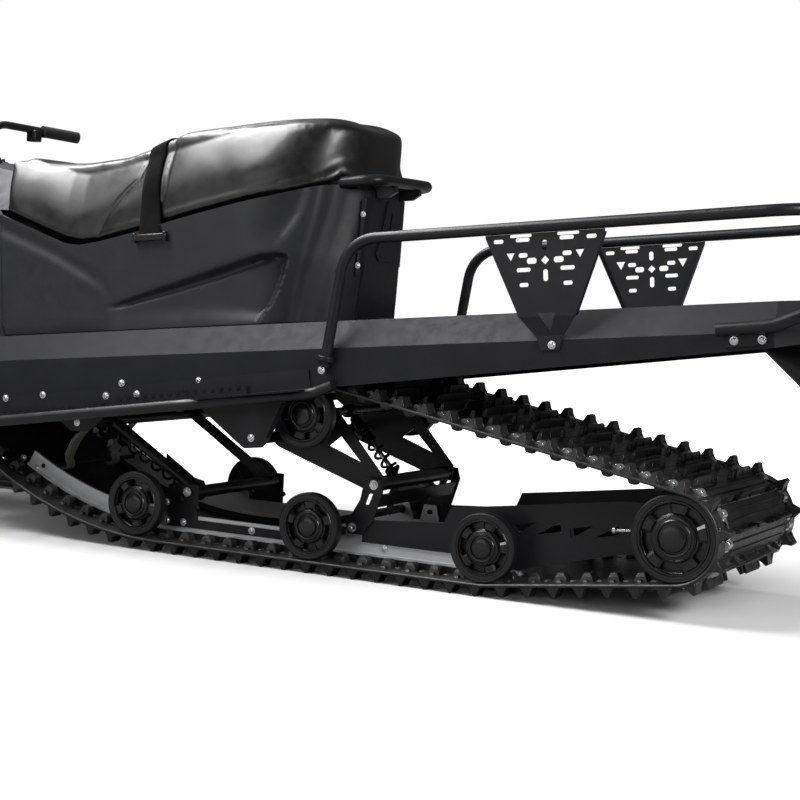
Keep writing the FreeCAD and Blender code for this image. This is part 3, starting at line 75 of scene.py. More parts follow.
# %% The tunnel's own frame
TILT = math.radians(5.45)
TUNNEL_ORIGIN = np.array([0.350, 0.0, 0.601])
TUNNEL_AXES = np.array([[math.cos(TILT), 0, -math.sin(TILT)], [0, 1, 0], [math.sin(TILT), 0, math.cos(TILT)]])


def from_tunnel(points):
    """Turns points given along the tunnel, in millimetres, into metres in the row frame."""
    return np.asarray(points, float) * MM @ TUNNEL_AXES.T + TUNNEL_ORIGIN


def from_row(points):
    """Turns points in millimetres of the row frame into metres."""
    return np.asarray(points, float) * MM

# %% [markdown]
# ## Shapes from arrays
# A shape here is a pair: an array of points, and a list of face arrays, one for each number
# of corners. Blender's own primitives could be placed and joined instead, but arrays let a
# whole track be worked out at once, and every number in it can be read. The first helpers lay
# quads over rows of points.

# %% Grids and closed tubes
def unit(vectors):
    """Vectors brought to length one."""
    vectors = np.asarray(vectors, float)
    return vectors / np.linalg.norm(vectors, axis=-1, keepdims=True)


def grid(points, around=True, along=False):
    """Quads over points laid out as (rows, columns, 3): each joins a point to the next one in its
    row and to the two below them. Either direction may close on itself."""
    rows, columns = points.shape[:2]
    index = np.arange(rows * columns).reshape(rows, columns)
    if around:
        index = np.concatenate([index, index[:, :1]], axis=1)
    if along:
        index = np.concatenate([index, index[:1]], axis=0)
    quads = np.stack([index[:-1, :-1], index[1:, :-1], index[1:, 1:], index[:-1, 1:]], axis=-1)
    return points.reshape(-1, 3), [quads.reshape(-1, 4)]


def capped(points):
    """A tube over (rows, corners, 3) whose first and last rows are closed with a face."""
    shape, groups = grid(points)
    first = np.arange(points.shape[1])
    return shape, groups + [np.stack([first[::-1], first + len(shape) - len(first)])]

# %% [markdown]
# Turned parts, such as wheels, bolts and bezels, are a profile swept round an axis. Sheet
# parts are a flat outline with a thickness, and moulded lugs are blocks that taper to a
# smaller head, as they must to leave their mould.

# %% Turned, flat and tapered shapes
def lathe(profile, steps=32, closed=False):
    """A profile of (radius, height) turned about the Z axis: x = r cos a, y = r sin a, z = h."""
    profile = np.asarray(profile, float)
    turn = np.linspace(0, 2 * math.pi, steps, endpoint=False)
    radius, height = profile[:, :1], profile[:, 1:]
    points = np.stack([radius * np.cos(turn), radius * np.sin(turn), height + 0 * turn], axis=-1)
    return grid(points, True, closed)


def slab(outline, low, high):
    """A flat outline of (x, y) given thickness along Z, with a face over each end."""
    outline = np.asarray(outline, float)
    count = len(outline)
    ends = [np.column_stack([outline, np.full(count, level)]) for level in (low, high)]
    base = np.arange(count)
    following = np.roll(base, -1)
    sides = np.stack([base, following, following + count, base + count], axis=1)
    return np.concatenate(ends), [sides, np.stack([base[::-1], base + count])]


def frustum(foot, head, low, high):
    """A block whose foot and head are rectangles (x0, x1, y0, y1) at two heights."""
    rings = []
    for (x0, x1, y0, y1), z in ((foot, low), (head, high)):
        rings.append(np.array([(x0, y0, z), (x1, y0, z), (x1, y1, z), (x0, y1, z)], float))
    points = np.concatenate(rings)
    faces = np.array([(3, 2, 1, 0), (4, 5, 6, 7), (0, 1, 5, 4), (1, 2, 6, 5), (2, 3, 7, 6), (3, 0, 4, 7)])
    return points, [faces]


def block(x0, x1, y0, y1, z0, z1):
    """A plain rectangular block."""
    return frustum((x0, x1, y0, y1), (x0, x1, y0, y1), z0, z1)


def side_view(outline, y0, y1):
    """A slab over a side-view outline of (x, z), between two y."""
    points, groups = slab(outline, y0, y1)
    return points[:, [0, 2, 1]], groups


def scaled(shape, factor=MM):
    """A shape in millimetres turned to metres."""
    return shape[0] * factor, shape[1]


def joined(*shapes):
    """Several shapes as one."""
    points, groups, start = [], {}, 0
    for part, faces in shapes:
        points.append(part)
        for face in faces:
            groups.setdefault(face.shape[1], []).append(face + start)
        start += len(part)
    return np.concatenate(points), [np.concatenate(group) for group in groups.values()]

# %% [markdown]
# What repeats is worked out once and copied by its place and its own axes. Tubes and springs
# are a ring carried along a path; its axes come from one fixed direction, so the ring doesn't
# twist.

# %% Copies and tubes
def spread(shape, places, turns):
    """Copies a shape to many places; turns holds each copy's own axes as columns."""
    points, groups = shape
    places = np.asarray(places, float).reshape(-1, 3)
    turns = np.broadcast_to(np.asarray(turns, float), (len(places), 3, 3))
    moved = np.einsum("kij,nj->kni", turns, points) + places[:, None, :]
    shift = (np.arange(len(places)) * len(points))[:, None, None]
    return moved.reshape(-1, 3), [(g[None] + shift).reshape(-1, g.shape[1]) for g in groups]


def facing(normals, along=(0.31, 0.11, 0.94)):
    """Axes whose third column is each normal, for pieces that sit on a surface."""
    normals = unit(np.reshape(normals, (-1, 3)))
    along = np.broadcast_to(np.asarray(along, float), normals.shape)
    first = unit(along - normals * np.sum(along * normals, axis=1, keepdims=True))
    return np.stack([first, np.cross(normals, first), normals], axis=-1)


def tube(path, radius, sides=12, reference=(0, 1, 0)):
    """A round section carried along a path; the section's axes come from a reference direction."""
    path = np.asarray(path, float)
    ahead = unit(np.gradient(path, axis=0))
    across = unit(np.cross(ahead, np.broadcast_to(np.asarray(reference, float), ahead.shape)))
    upright = np.cross(across, ahead)
    turn = np.linspace(0, 2 * math.pi, sides, endpoint=False)[None, :, None]
    ring = np.cos(turn) * across[:, None, :] + np.sin(turn) * upright[:, None, :]
    return capped(path[:, None, :] + radius * ring)

# %% [markdown]
# `surface` makes a mesh of a shape: it welds it, turns its faces outwards, shades it smooth
# between sharp edges, and hangs it on a body of the machine. A narrow bevel gives moulded and
# cut edges the small round that catches light.

# %% Mesh objects
def move_to(mesh, points):
    """Sets the mesh's points from an array."""
    mesh.vertices.foreach_set("co", np.ascontiguousarray(points, dtype=np.float32).ravel())
    mesh.update()


def surface(name, shape, look, body="chassis", sharp=35, hides=()):
    """Makes the mesh object of a shape: welded, faces outwards, smooth between sharp edges."""
    points, groups = shape
    mesh = bpy.data.meshes.new(name)
    mesh.vertices.add(len(points))
    move_to(mesh, points)
    corners = np.concatenate([group.ravel() for group in groups]).astype(np.int32)
    sizes = np.concatenate([np.full(len(group), group.shape[1]) for group in groups])
    mesh.loops.add(len(corners))
    mesh.loops.foreach_set("vertex_index", corners)
    mesh.polygons.add(len(sizes))
    mesh.polygons.foreach_set("loop_start", (np.cumsum(sizes) - sizes).astype(np.int32))
    mesh.update(calc_edges=True)
    work = bmesh.new()
    work.from_mesh(mesh)
    bmesh.ops.remove_doubles(work, verts=work.verts, dist=2e-6)
    bmesh.ops.recalc_face_normals(work, faces=work.faces)
    work.to_mesh(mesh)
    work.free()
    mesh.shade_smooth()
    mesh.set_sharp_from_angle(angle=math.radians(sharp))
    mesh.materials.append(LOOKS[look])
    made = bpy.data.objects.new(name, mesh)
    bpy.context.scene.collection.objects.link(made)
    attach(made, body)
    if hides:
        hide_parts(*hides)
    print(name, len(mesh.polygons), "faces")
    return made


def bevelled(piece, width, segments=2):
    """Rounds a piece's sharp edges."""
    step = piece.modifiers.new("edges", "BEVEL")
    step.width = width
    step.segments = segments
    step.limit_method = "ANGLE"
    step.angle_limit = math.radians(35)
    return piece

# %% [markdown]
# ## Materials
# A real finish is never one flat colour: powder pools, rubber gathers dust, plastic scuffs.
# Image textures could show that, but a procedural node tree needs no files, and on object
# coordinates it doesn't slide when the machine moves. `colour` turns an sRGB hex value to
# linear, and `add` adds a node.

# %% Colours and nodes
def colour(text):
    """A linear colour from an sRGB hex string."""
    parts = [int(text[i:i + 2], 16) / 255 for i in (1, 3, 5)]
    linear = [c / 12.92 if c <= 0.04045 else ((c + 0.055) / 1.055) ** 2.4 for c in parts]
    return (*linear, 1.0)


def node_tree(owner):
    """The emptied node tree of a new finish or world."""
    owner.use_nodes = True
    owner.node_tree.nodes.clear()
    return owner.node_tree


def add(tree, kind, values=None, out=None, **settings):
    """Adds a node with its settings and inputs, each a value or another node's output. Gives the
    node back, or the output that out names."""
    made = tree.nodes.new(kind)
    for key, value in settings.items():
        setattr(made, key, value)
    for key, value in (values or {}).items():
        if isinstance(value, bpy.types.NodeSocket):
            tree.links.new(value, made.inputs[key])
        else:
            made.inputs[key].default_value = value
    return made if out is None else made.outputs[out]

# %% [markdown]
# Every finish uses one recipe: two close colours in slow patches, a roughness that wanders a
# little about its own value, and a fine bump for the grain.

# %% One recipe for every finish
def finish(name, base, other, rough, metal=0.0, grain=0.3, grain_size=0.0012, depth=0.0002,
           patch=0.06, gloss=0.5, coat=0.0, clear=0.0):
    """Two close colours in slow patches of patch metres, uneven roughness, and a fine grain of
    grain_size metres; clear is the share of light let through."""
    made = bpy.data.materials.new(name)
    tree = node_tree(made)
    place = add(tree, "ShaderNodeTexCoord", out="Object")
    slow = add(tree, "ShaderNodeTexNoise", {"Vector": place, "Scale": 1 / patch, "Detail": 4.0}, "Fac")
    share = add(tree, "ShaderNodeMapRange", {"Value": slow, "From Min": 0.35, "From Max": 0.7}, "Result")
    blend = add(tree, "ShaderNodeMix", {"Factor": share, 6: colour(base), 7: colour(other)}, 2,
                data_type="RGBA")
    smudge = add(tree, "ShaderNodeTexNoise", {"Vector": place, "Scale": 2.5 / patch, "Detail": 3.0}, "Fac")
    uneven = add(tree, "ShaderNodeMapRange", {
        "Value": smudge, "From Min": 0.3, "From Max": 0.7,
        "To Min": max(rough - 0.05, 0.03), "To Max": min(rough + 0.07, 1.0)}, "Result")
    shader = add(tree, "ShaderNodeBsdfPrincipled", {
        "Base Color": blend, "Metallic": metal, "Roughness": uneven,
        "Specular IOR Level": gloss, "Coat Weight": coat, "Coat Roughness": 0.2,
        "Transmission Weight": clear, "IOR": 1.49 if clear else 1.5})
    if grain > 0:
        pebbles = add(tree, "ShaderNodeTexNoise", {"Vector": place, "Scale": 1 / grain_size}, "Fac")
        bump = add(tree, "ShaderNodeBump", {
            "Height": pebbles, "Strength": grain, "Distance": depth}, "Normal")
        tree.links.new(bump, shader.inputs["Normal"])
    add(tree, "ShaderNodeOutputMaterial", {"Surface": shader.outputs["BSDF"]})
    return made

# %% [markdown]
# Powder coat on steel is matt and slightly pebbled, so its gloss is low and its grain shows.
# Moulded ABS has a finer leather-like grain. Vinyl is smoother and shines in broad patches.
# Extruded aluminium is bright but dull-edged, and the track is rubber with dusty wear. Each
# line gives the two colours, the roughness, and what else sets that finish apart. Grains
# finer than a millimetre are drawn a little coarser, so that they show.

# %% The finishes
FINISHES = {
    # Baked powder: the thick coat pools into pebbles and hides the metal.
    "powder_coated_steel": ("#1b1c1e", "#1f2022", 0.35, dict(grain=0.35, grain_size=0.0016, gloss=0.27)),
    "powder_coated_tunnel": ("#1e1f22", "#222326", 0.50, dict(grain_size=0.0016, gloss=0.18)),
    # Moulded plastics take the grain of their tool.
    "moulded_abs": ("#242527", "#28292c", 0.42, dict(grain=0.55, grain_size=0.0014, gloss=0.38)),
    "wheel_nylon": ("#101011", "#161617", 0.27, dict(grain=0.2, grain_size=0.002)),
    "slider_polymer": ("#0f0f10", "#141414", 0.45, dict(grain=0.2)),
    "smoked_acrylic": ("#6a6e72", "#74787c", 0.04, dict(grain=0.0, clear=0.92)),
    # Rubbers: the belt is scuffed and dusty, tyres and grips are cleaner.
    "track_rubber": ("#1e1e1f", "#303031", 0.36, dict(grain=0.8, grain_size=0.006, depth=0.0009,
                                                      patch=0.03, gloss=0.55)),
    "tyre_rubber": ("#0f0f10", "#151516", 0.42, dict(grain_size=0.003, gloss=0.45)),
    "flap_rubber": ("#131314", "#181819", 0.55, dict(grain=0.4)),
    "grip_rubber": ("#101010", "#151515", 0.7, dict(grain=0.5)),
    # Metals: drawn aluminium, zinc plate with its fine bloom, rough iron, polished chrome.
    "extruded_aluminium": ("#cfd1d3", "#dadcde", 0.34, dict(metal=0.4, grain=0.12)),
    "zinc_plated_steel": ("#d2d3d5", "#e2e3e4", 0.26, dict(metal=0.75, grain=0.1, patch=0.01)),
    "cast_iron": ("#3c3c3e", "#48484a", 0.62, dict(metal=1.0, grain=0.6, grain_size=0.003)),
    "spring_steel": ("#17181a", "#1c1d1f", 0.32, dict(grain=0.1)),
    "damper_chrome": ("#b8babd", "#c6c8ca", 0.12, dict(metal=1.0, grain=0.0)),
    # Vinyl has a soft sheen over a pressed leather grain; thread and webbing are woven.
    "coated_vinyl": ("#121214", "#161618", 0.33, dict(grain=0.5, grain_size=0.0011, gloss=0.6, coat=0.15)),
    "stitching": ("#1c1c1d", "#232324", 0.7, dict(grain=0.4)),
    "limiter_webbing": ("#c2c1bd", "#d4d3cf", 0.85, dict(grain=0.9, grain_size=0.0022, depth=0.0005,
                                                         patch=0.01)),
    "seat_webbing": ("#08080a", "#0e0e0f", 0.9, dict(grain=0.9, grain_size=0.002, depth=0.0004, gloss=0.1)),
    "lamp_lens": ("#c9cdd1", "#d5d8db", 0.08, dict(grain=0.0, coat=0.5)),
}
LOOKS = {name: finish(name, *row[:3], **row[3]) for name, row in FINISHES.items()}

# %% [markdown]
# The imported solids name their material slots. Each slot gets its finish here, once, so that a
# solid and the piece that dresses it match.

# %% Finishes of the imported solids
SLOT_LOOKS = {
    "track_rubber": "track_rubber", "alloy": "extruded_aluminium", "slider_plastic": "slider_polymer",
    "wheel_plastic": "wheel_nylon", "black_steel": "powder_coated_steel",
    "tunnel_black": "powder_coated_tunnel",
    "panel_plastic": "moulded_abs", "seat_vinyl": "coated_vinyl", "webbing": "limiter_webbing",
    "black_webbing": "seat_webbing", "flap_rubber": "flap_rubber", "screen": "smoked_acrylic",
    "lamp": "lamp_lens", "cast_metal": "cast_iron", "ski_plastic": "slider_polymer",
    "grip_rubber": "grip_rubber",
}
SLOT_OF = {entry["node"]: entry["material_slot"] for entry in frame["record"]["subparts"]}
for node_name, node in NODES.items():
    node.data.materials.clear()
    node.data.materials.append(LOOKS[SLOT_LOOKS[SLOT_OF[node_name]]])
print("materials", len(LOOKS))

# %% [markdown]
# ## The track's path
# The belt is one closed loop. It goes round the long curve of the rails, the back wheels, the
# raised rear wheels, the carrier wheels and the drivers. It could be drawn as a curve by
# hand, but a taut belt is exactly straight runs and arcs, so it is worked out from the wheels
# themselves. Each place on it is then given by the distance travelled and a height above the
# belt's inner face.

# %% Wheels and tangent lines
SEAT_GAP = 0.0003
BELT_THICK = 0.007
LUG_PITCH = 0.064
SPROCKET_RADIUS = 0.081
RAIL_CURVE = (-0.079, 1.051, 1.020)  # centre x and z, and radius, of the rails' long bend


def wheel_circle(node, radius=None):
    """Centre and outer radius of a set of wheels, from its box, in the side view."""
    low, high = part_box(node)
    reach = radius or (high[2] - low[2]) / 2
    return (low[0] + high[0]) / 2, (low[2] + high[2]) / 2, reach + SEAT_GAP


def belt_spans(circles):
    """Tangent lines and arcs of a belt round circles, as a table: kind, start, and what each needs. A
    run leaves each circle a quarter turn behind its heading, plus the arcsine of the difference of
    the two radii over the distance between the centres."""
    table, count, angles = [], len(circles), []
    for (x0, z0, r0), (x1, z1, r1) in zip(circles, circles[1:] + circles[:1]):
        heading = math.atan2(z1 - z0, x1 - x0)
        angles.append(heading - math.pi / 2 + math.asin((r0 - r1) / math.hypot(x1 - x0, z1 - z0)))
    start = 0.0
    for i in range(count):
        (x0, z0, r0), (x1, z1, r1) = circles[i], circles[(i + 1) % count]
        sweep = (angles[i] - angles[i - 1]) % (2 * math.pi)
        table.append((1, start, x0, z0, r0, angles[i - 1], 0, 0))
        start += r0 * sweep
        normal = np.array([math.cos(angles[i]), math.sin(angles[i])])
        a, b = np.array([x0, z0]) + r0 * normal, np.array([x1, z1]) + r1 * normal
        run = np.linalg.norm(b - a)
        table.append((0, start, a[0], a[1], 0, angles[i], *((b - a) / run)))
        start += run
    return np.array(table), start


BELT_CIRCLES = [
    RAIL_CURVE, wheel_circle("idler_wheels_back"), wheel_circle("idler_wheels_rear"),
    wheel_circle("carrier_wheels"), wheel_circle("drive_axle", SPROCKET_RADIUS),
]
SPANS, BELT_LENGTH = belt_spans(BELT_CIRCLES)
ROWS = round(BELT_LENGTH / LUG_PITCH)
PITCH = BELT_LENGTH / ROWS
print("belt", round(BELT_LENGTH, 4), "m in", ROWS, "rows")

# %% [markdown]
# A run and an arc give places by different formulas. Both are worked out for all places at
# once, and the kind of span picks one.

# %% Places on the belt
def on_belt(distance, height=0.0):
    """Points and outward directions on the belt's side view: an arc is centre plus radius times
    (cos, sin) of its angle, and a run is its start plus its direction times the distance left."""
    travelled = np.mod(distance, BELT_LENGTH)
    which = np.searchsorted(SPANS[:, 1], travelled, side="right") - 1
    kind, start, x, z, radius, angle, ahead_x, ahead_z = SPANS[which].T
    left = travelled - start
    angle = angle + np.where(kind > 0, left / np.where(radius > 0, radius, 1), 0)
    outward = np.stack([np.cos(angle), np.zeros_like(angle), np.sin(angle)], axis=-1)
    left = (1 - kind) * left
    base = np.stack([x + left * ahead_x, np.zeros_like(x), z + left * ahead_z], axis=-1)
    return base + outward * (kind * radius + height)[:, None], outward


def belt_axes(distance):
    """Places and axes for pieces on the belt: along it, across it and outwards."""
    places, outward = on_belt(np.asarray(distance, float))
    across = np.broadcast_to([0.0, 1.0, 0.0], outward.shape)
    return places, np.stack([np.cross(across, outward), across, outward], axis=-1)

# %% [markdown]
# ## Track belt
# A snowmobile track is a moulded rubber belt with stiffening rods across it and a line of
# windows near each edge for the drive sprockets. The windows could be cut with booleans, row
# after row. Here the belt is a sheet over distance and width whose grid leaves them out, and
# Solidify gives it a wall, which also closes the windows' edges.

# %% Belt with its windows
def belt_sheet():
    """The middle surface of the belt with its windows missing."""
    steps = 8
    distance = np.arange(ROWS * steps) * PITCH / steps
    half = np.array([60, 190, 228, 244, 262, 297, 300]) * MM
    across = np.concatenate([-half[::-1], half])
    line, _ = on_belt(distance, BELT_THICK / 2)
    points = np.repeat(line[:, None, :], len(across), axis=1)
    points[:, :, 1] = across
    shape, (quads,) = grid(points, around=False, along=True)
    row = np.arange(len(quads)) // (len(across) - 1)
    column = np.arange(len(quads)) % (len(across) - 1)
    window = (row % steps >= steps // 2) & np.isin(column, (3, 9))
    return shape, [quads[~window]]


belt = surface("track_belt", belt_sheet(), "track_rubber", hides=("track",))
wall = belt.modifiers.new("thickness", "SOLIDIFY")
wall.thickness = BELT_THICK
wall.offset = 0

# %% [markdown]
# ## Lugs, rods and clips
# Each row has a chunky lug at both edges, thin paddles between, and a low ridge over the
# stiffening rod. Odd and even rows set their paddles apart, so the belt grips across its
# whole width. An array along a curve could repeat one row, but it would bend the lugs, which
# on the real belt stay stiff. So each lug is a few tapered blocks, set square to the belt at
# its own place.

# %% Shapes of one row
def mirrored_lugs(shape):
    """A shape and its mirror image across the middle of the belt."""
    points, groups = shape
    return joined(shape, (points * [1, -1, 1], [g[:, ::-1] for g in groups]))


def post(y, half=4.5):
    """A small upright stud."""
    return frustum((-7, 7, y - half, y + half), (-4, 4, y - half + 1, y + half - 1), 6, 27)


def paddle(y0, y1):
    """A thin upright blade with a stud at each end and one in its middle."""
    middle = (y0 + y1) / 2
    blade = frustum((-5, 5, y0 + 3, y1 - 3), (-2.2, 2.2, y0 + 4, y1 - 4), 6, 30)
    foot = frustum((-9, 9, y0 - 2, y1 + 2), (-5, 5, y0, y1), 5, 12)
    rib = frustum((-8, 8, middle - 3, middle + 3), (-3.6, 3.6, middle - 2, middle + 2), 6, 25)
    return joined(blade, foot, rib, post(y0 + 3), post(y1 - 3))


EDGE_LUG = mirrored_lugs(joined(
    frustum((-14, 12, -300, -248), (-5, 3, -293, -256), 5, 31),
    frustum((-19, -9, -298, -286), (-7, -3, -295, -288), 5, 24),
    frustum((8, 17, -297, -290), (2, 6, -294, -291), 5, 21),
    frustum((8, 17, -258, -251), (2, 6, -257, -253), 5, 21),
    frustum((-7, 7, -250, -205), (-3, 3, -250, -208), 5, 11)))
EVEN_PADDLES = joined(paddle(-92, 92), post(-160), post(160))
ODD_PADDLES = mirrored_lugs(joined(paddle(-199, -87), post(-60)))
RIDGES = joined(
    frustum((-8, 8, -244, 244), (-5, 5, -243, 243), 5, 8.4),
    frustum((-26, -22, -212, 212), (-25, -23, -210, 210), 5, 7.8),
    frustum((22, 26, -212, 212), (23, 25, -210, 210), 5, 7.8))
DRIVE_LUG = mirrored_lugs(joined(
    frustum((-17, 17, -246, -214), (-12, 12, -244, -216), 2, -11),
    frustum((-12, 12, -244, -216), (-7.5, 7.5, -240, -220), -11, -19.5),
    frustum((-7, 7, -258, -202), (-4, 4, -254, -206), 2, -5)))

# %% [markdown]
# The rows stand at an even pitch round the loop. Copying whole arrays keeps some hundreds of
# lugs in one light mesh.

# %% Rows of lugs
lug_rows = (np.arange(ROWS) + 0.5) * PITCH
parts = [spread(scaled(template), *belt_axes(rows)) for template, rows in (
    (EDGE_LUG, lug_rows), (EVEN_PADDLES, lug_rows[::2]), (ODD_PADDLES, lug_rows[1::2]),
    (RIDGES, lug_rows), (DRIVE_LUG, lug_rows))]
lugs = surface("track_lugs", joined(*parts), "track_rubber", hides=("track",))
bevelled(lugs, 0.0011, 1)

# %% [markdown]
# A bright steel clip is bent round the rod beside each window. It guides the drive lugs and
# keeps the sprocket from wearing the rubber.

# %% Steel clips
CLIP_BEHIND = 0.024
bend = np.radians(np.linspace(0, 180, 9))
hoop = np.column_stack([11 * np.cos(bend), 10 * np.sin(bend) + 6.5])
hoop = side_view(np.concatenate([hoop, [(-11, 5), (11, 5)]]), -251, -225)
clip = scaled(mirrored_lugs(joined(hoop, block(-16, 16, -249, -227, 5, 8.4))))
clips = surface("track_clips", spread(clip, *belt_axes(lug_rows - CLIP_BEHIND)), "zinc_plated_steel",
                sharp=50, hides=("track",))
bevelled(clips, 0.0012)

# %% [markdown]
# ## Idler wheels
# A wheel is injection-moulded nylon with a rubber tread pressed on. Spokes and windows could
# be cut out of a disc, but a moulding has soft steps and no sharp cuts. So its face is a grid
# over radius and angle whose depth steps down into five windows between the spokes, and up to
# a domed cap over the bearing. The tread is a turned ring with a slight crown.

# %% Wheel face and tread
def wheel_face(rim, windows=5, turn=0.0):
    """Grid of the outer face. Depth is a step profile of radius; where the angle lies in a
    window it drops further, and between two windows it stands up as a spoke."""
    inner, outer = 0.66 * rim, 0.90 * rim
    hub, cap = 0.60 * rim, 0.36 * rim
    floor, drop, lift = 10.0, 14.0, 4.5
    profile = np.array([
        (0, -6.0), (0.5 * cap, -5.8), (0.8 * cap, -5.0), (0.95 * cap, -3.4), (cap, -1.0),
        (1.02 * cap, 2.0), (1.12 * cap, 2.4), (1.18 * cap, -1.2), (1.30 * cap, -1.8),
        (1.36 * cap, -0.4), (1.40 * cap, 2.6), (0.94 * hub, 3.2), (0.97 * hub, 2.2), (hub, 3.0),
        (1.02 * hub, 8.0), (inner - 0.4, floor), (inner, floor), (inner + 0.5, floor),
        (outer - 0.5, floor), (outer, floor), (0.915 * rim, 9.0), (0.925 * rim, 2.2),
        (0.94 * rim, 0.3), (0.975 * rim, 0.3), (0.99 * rim, 1.6), (rim, 2.2), (rim, 25.0),
        (0.9 * rim, 26.0), (0.5 * rim, 26.0), (0.3 * rim, 24.0), (0.0, 24.0)])
    sector = 2 * math.pi / windows
    half = 0.26 * sector
    pad = 0.5 * sector - half
    beside = np.array([half + 0.016, half + 0.4 * pad, half + 0.45 * pad])
    marks = np.concatenate([[-0.5 * sector], -beside[::-1], [-half, 0, half], beside])
    inside = np.tile(np.abs(marks) <= half + 1e-9, windows)
    raised = np.tile(np.abs(marks) >= half + 0.39 * pad, windows)
    angle = (np.arange(windows)[:, None] * sector + marks[None, :]).ravel() + turn
    radius, depth = profile[:, :1], profile[:, 1:]
    ring = (radius > inner + 0.1) & (radius < outer - 0.1) & (depth == floor)
    depth = depth + np.where(ring & inside, drop, 0.0) - np.where(ring & raised, lift, 0.0)
    return grid(np.stack([radius * np.cos(angle), radius * np.sin(angle), -depth], axis=-1))


def tread(rim, radius, width):
    """The rubber ring, outer side downwards: a crowned tread between two rounded shoulders."""
    return lathe([
        (rim - 0.5, -1.4), (rim + 1.5, -0.4), (rim + 5, -0.9), (radius - 6, -0.9), (radius - 4, -0.2),
        (radius - 1.2, -1.6), (radius - 0.2, -4), (radius, -width / 2), (radius - 0.2, 4 - width),
        (radius - 1.2, 1.6 - width), (radius - 4, 0.2 - width), (rim - 0.5, 0.2 - width)], 96, closed=True)

# %% [markdown]
# Wheels sit in pairs on cross shafts, just outside the rails. A turned shape has its axis
# along Z, so it is laid across the machine and mirrored for the other side.

# %% Wheels on their shafts
WHEEL_AXES = {side: np.array([(1.0, 0, 0), (0, 0, side), (0, 1, 0)]) for side in (-1, 1)}
WHEEL_OUT = 0.290


def crosswise(shape, place, side=1):
    """A shape in millimetres set with its Z axis across the machine, at a place in metres."""
    return spread(scaled(shape), [place], WHEEL_AXES[side])


def cross_rod(radius, half):
    """A plain rod that reaches half its length each way, in millimetres."""
    return lathe([(0, -half), (radius, -half), (radius, half), (0, half)], 20)


def wheel_set(node, radius, width, rim, middle=False, turn=0.4):
    """The wheels of one cross shaft, in place of its plain node."""
    x, z, _ = wheel_circle(node)
    faces, rings = [], []
    for side in (-1, 1):
        centre = (x, side * WHEEL_OUT, z)
        faces.append(crosswise(wheel_face(rim, turn=turn), centre, side))
        rings.append(crosswise(tread(rim, radius, width), centre, side))
    faces.append(crosswise(cross_rod(10.5, 268), (x, 0, z)))
    if middle:
        points, groups = tread(rim, radius, 28)
        rings.append(crosswise((points + [0, 0, 14], groups), (x, 0, z), -1))
        half_hub = [(10, 10), (26, 10), (26, 3), (rim, 3)]
        hub = [(r, -h) for r, h in half_hub] + half_hub[::-1]
        faces.append(crosswise(lathe(hub, 48, closed=True), (x, 0, z)))
    surface(node + "_hubs", joined(*faces), "wheel_nylon", sharp=28, hides=(node,))
    surface(node + "_treads", joined(*rings), "tyre_rubber", sharp=40, hides=(node,))


SMALL_WHEELS = {"idler_wheels_front": 0.4, "idler_wheels_middle": 1.0, "idler_wheels_back": 0.7,
                "carrier_wheels": 0.1}
for node_name, turn in SMALL_WHEELS.items():
    wheel_set(node_name, 81, 28, 66, turn=turn)
wheel_set("idler_wheels_rear", 98, 34, 84, middle=True, turn=0.87)

# %% [markdown]
# ## Coil springs and dampers
# A coil-over shock is a chromed rod that slides in a painted body, with a spring round both.
# The Screw modifier could wind the wire. Here it is a helix by formula, since its end turns
# close up and lie flat on their seats: a circle's angle grows evenly while the centre moves
# along the axis.

# %% Springs, dampers and rods
def coil(a, b, radius, wire, turns):
    """A helical spring: a point turns evenly about the axis while it moves along it, slowly over the
    first and the last turn, and the wire is a tube round its path."""
    a, b = np.asarray(a, float), np.asarray(b, float)
    axis = unit(b - a)
    side = unit(np.cross(axis, [0.0, 1.0, 0.0]))
    other = np.cross(axis, side)
    t = np.linspace(0, 1, int(turns * 20) + 1)
    angle = 2 * math.pi * turns * t
    end_turn = wire * 2.1 / np.linalg.norm(b - a)
    rise = np.interp(t, [0, 1 / turns, 1 - 1 / turns, 1], [0, end_turn, 1 - end_turn, 1])
    ring = np.cos(angle)[:, None] * side + np.sin(angle)[:, None] * other
    return tube(a + (b - a) * rise[:, None] + radius * ring, wire, 8, reference=axis)


def turned_along(profile, a, b, steps=24):
    """A (radius, distance) profile in millimetres turned about the line from a towards b."""
    a, b = np.asarray(a, float), np.asarray(b, float)
    return spread(scaled(lathe(profile, steps)), [a], facing([b - a], along=(0.0, 1.0, 0.0)))


def shock(name, top, low, node, radius, turns):
    """A coil-over shock between two points, in place of its plain node."""
    top, low = from_row(top), from_row(low)
    run = low - top
    length = np.linalg.norm(run) / MM

    def turned(start, *profile):
        """A solid turned about the shock's axis: shares of the radius, and distances from start."""
        steps = [(share * radius, start + distance) for share, distance in profile]
        return turned_along([(0, steps[0][1]), *steps, (0, steps[-1][1])], top, low)

    barrel = 0.48 * length
    body = turned(0, (0.62, 20), (0.70, 24), (0.70, 0.46 * length), (0.62, barrel))
    spring_seat = turned(0, (1.05, 0.24 * length), (1.12, 0.26 * length), (1.05, 0.29 * length))
    lower_seat = turned(length, (1.08, -34), (1.12, -30), (0.6, -22))
    eye = lathe([(9, -13), (16, -13), (17, -11), (17, 11), (16, 13), (9, 13)], 28, closed=True)
    eyes = [crosswise(eye, end) for end in (top, low)]
    rod = turned_along([(0, 0.47 * length), (6, 0.47 * length), (6, length - 15), (0, length - 15)], top, low)
    spring = coil(top + run * 0.285, top + run * (1 - 33 / length), radius * 0.9 * MM, 3.8 * MM, turns)
    surface(name + "_body", joined(body, spring_seat, lower_seat, *eyes), "powder_coated_steel",
            hides=(node,))
    surface(name + "_rod", rod, "damper_chrome", hides=(node,))
    surface(name + "_spring", spring, "spring_steel", hides=(node,))

# %% [markdown]
# The long front shock lies along the middle of the skid, and the short rear one stands beside
# the rear arm.

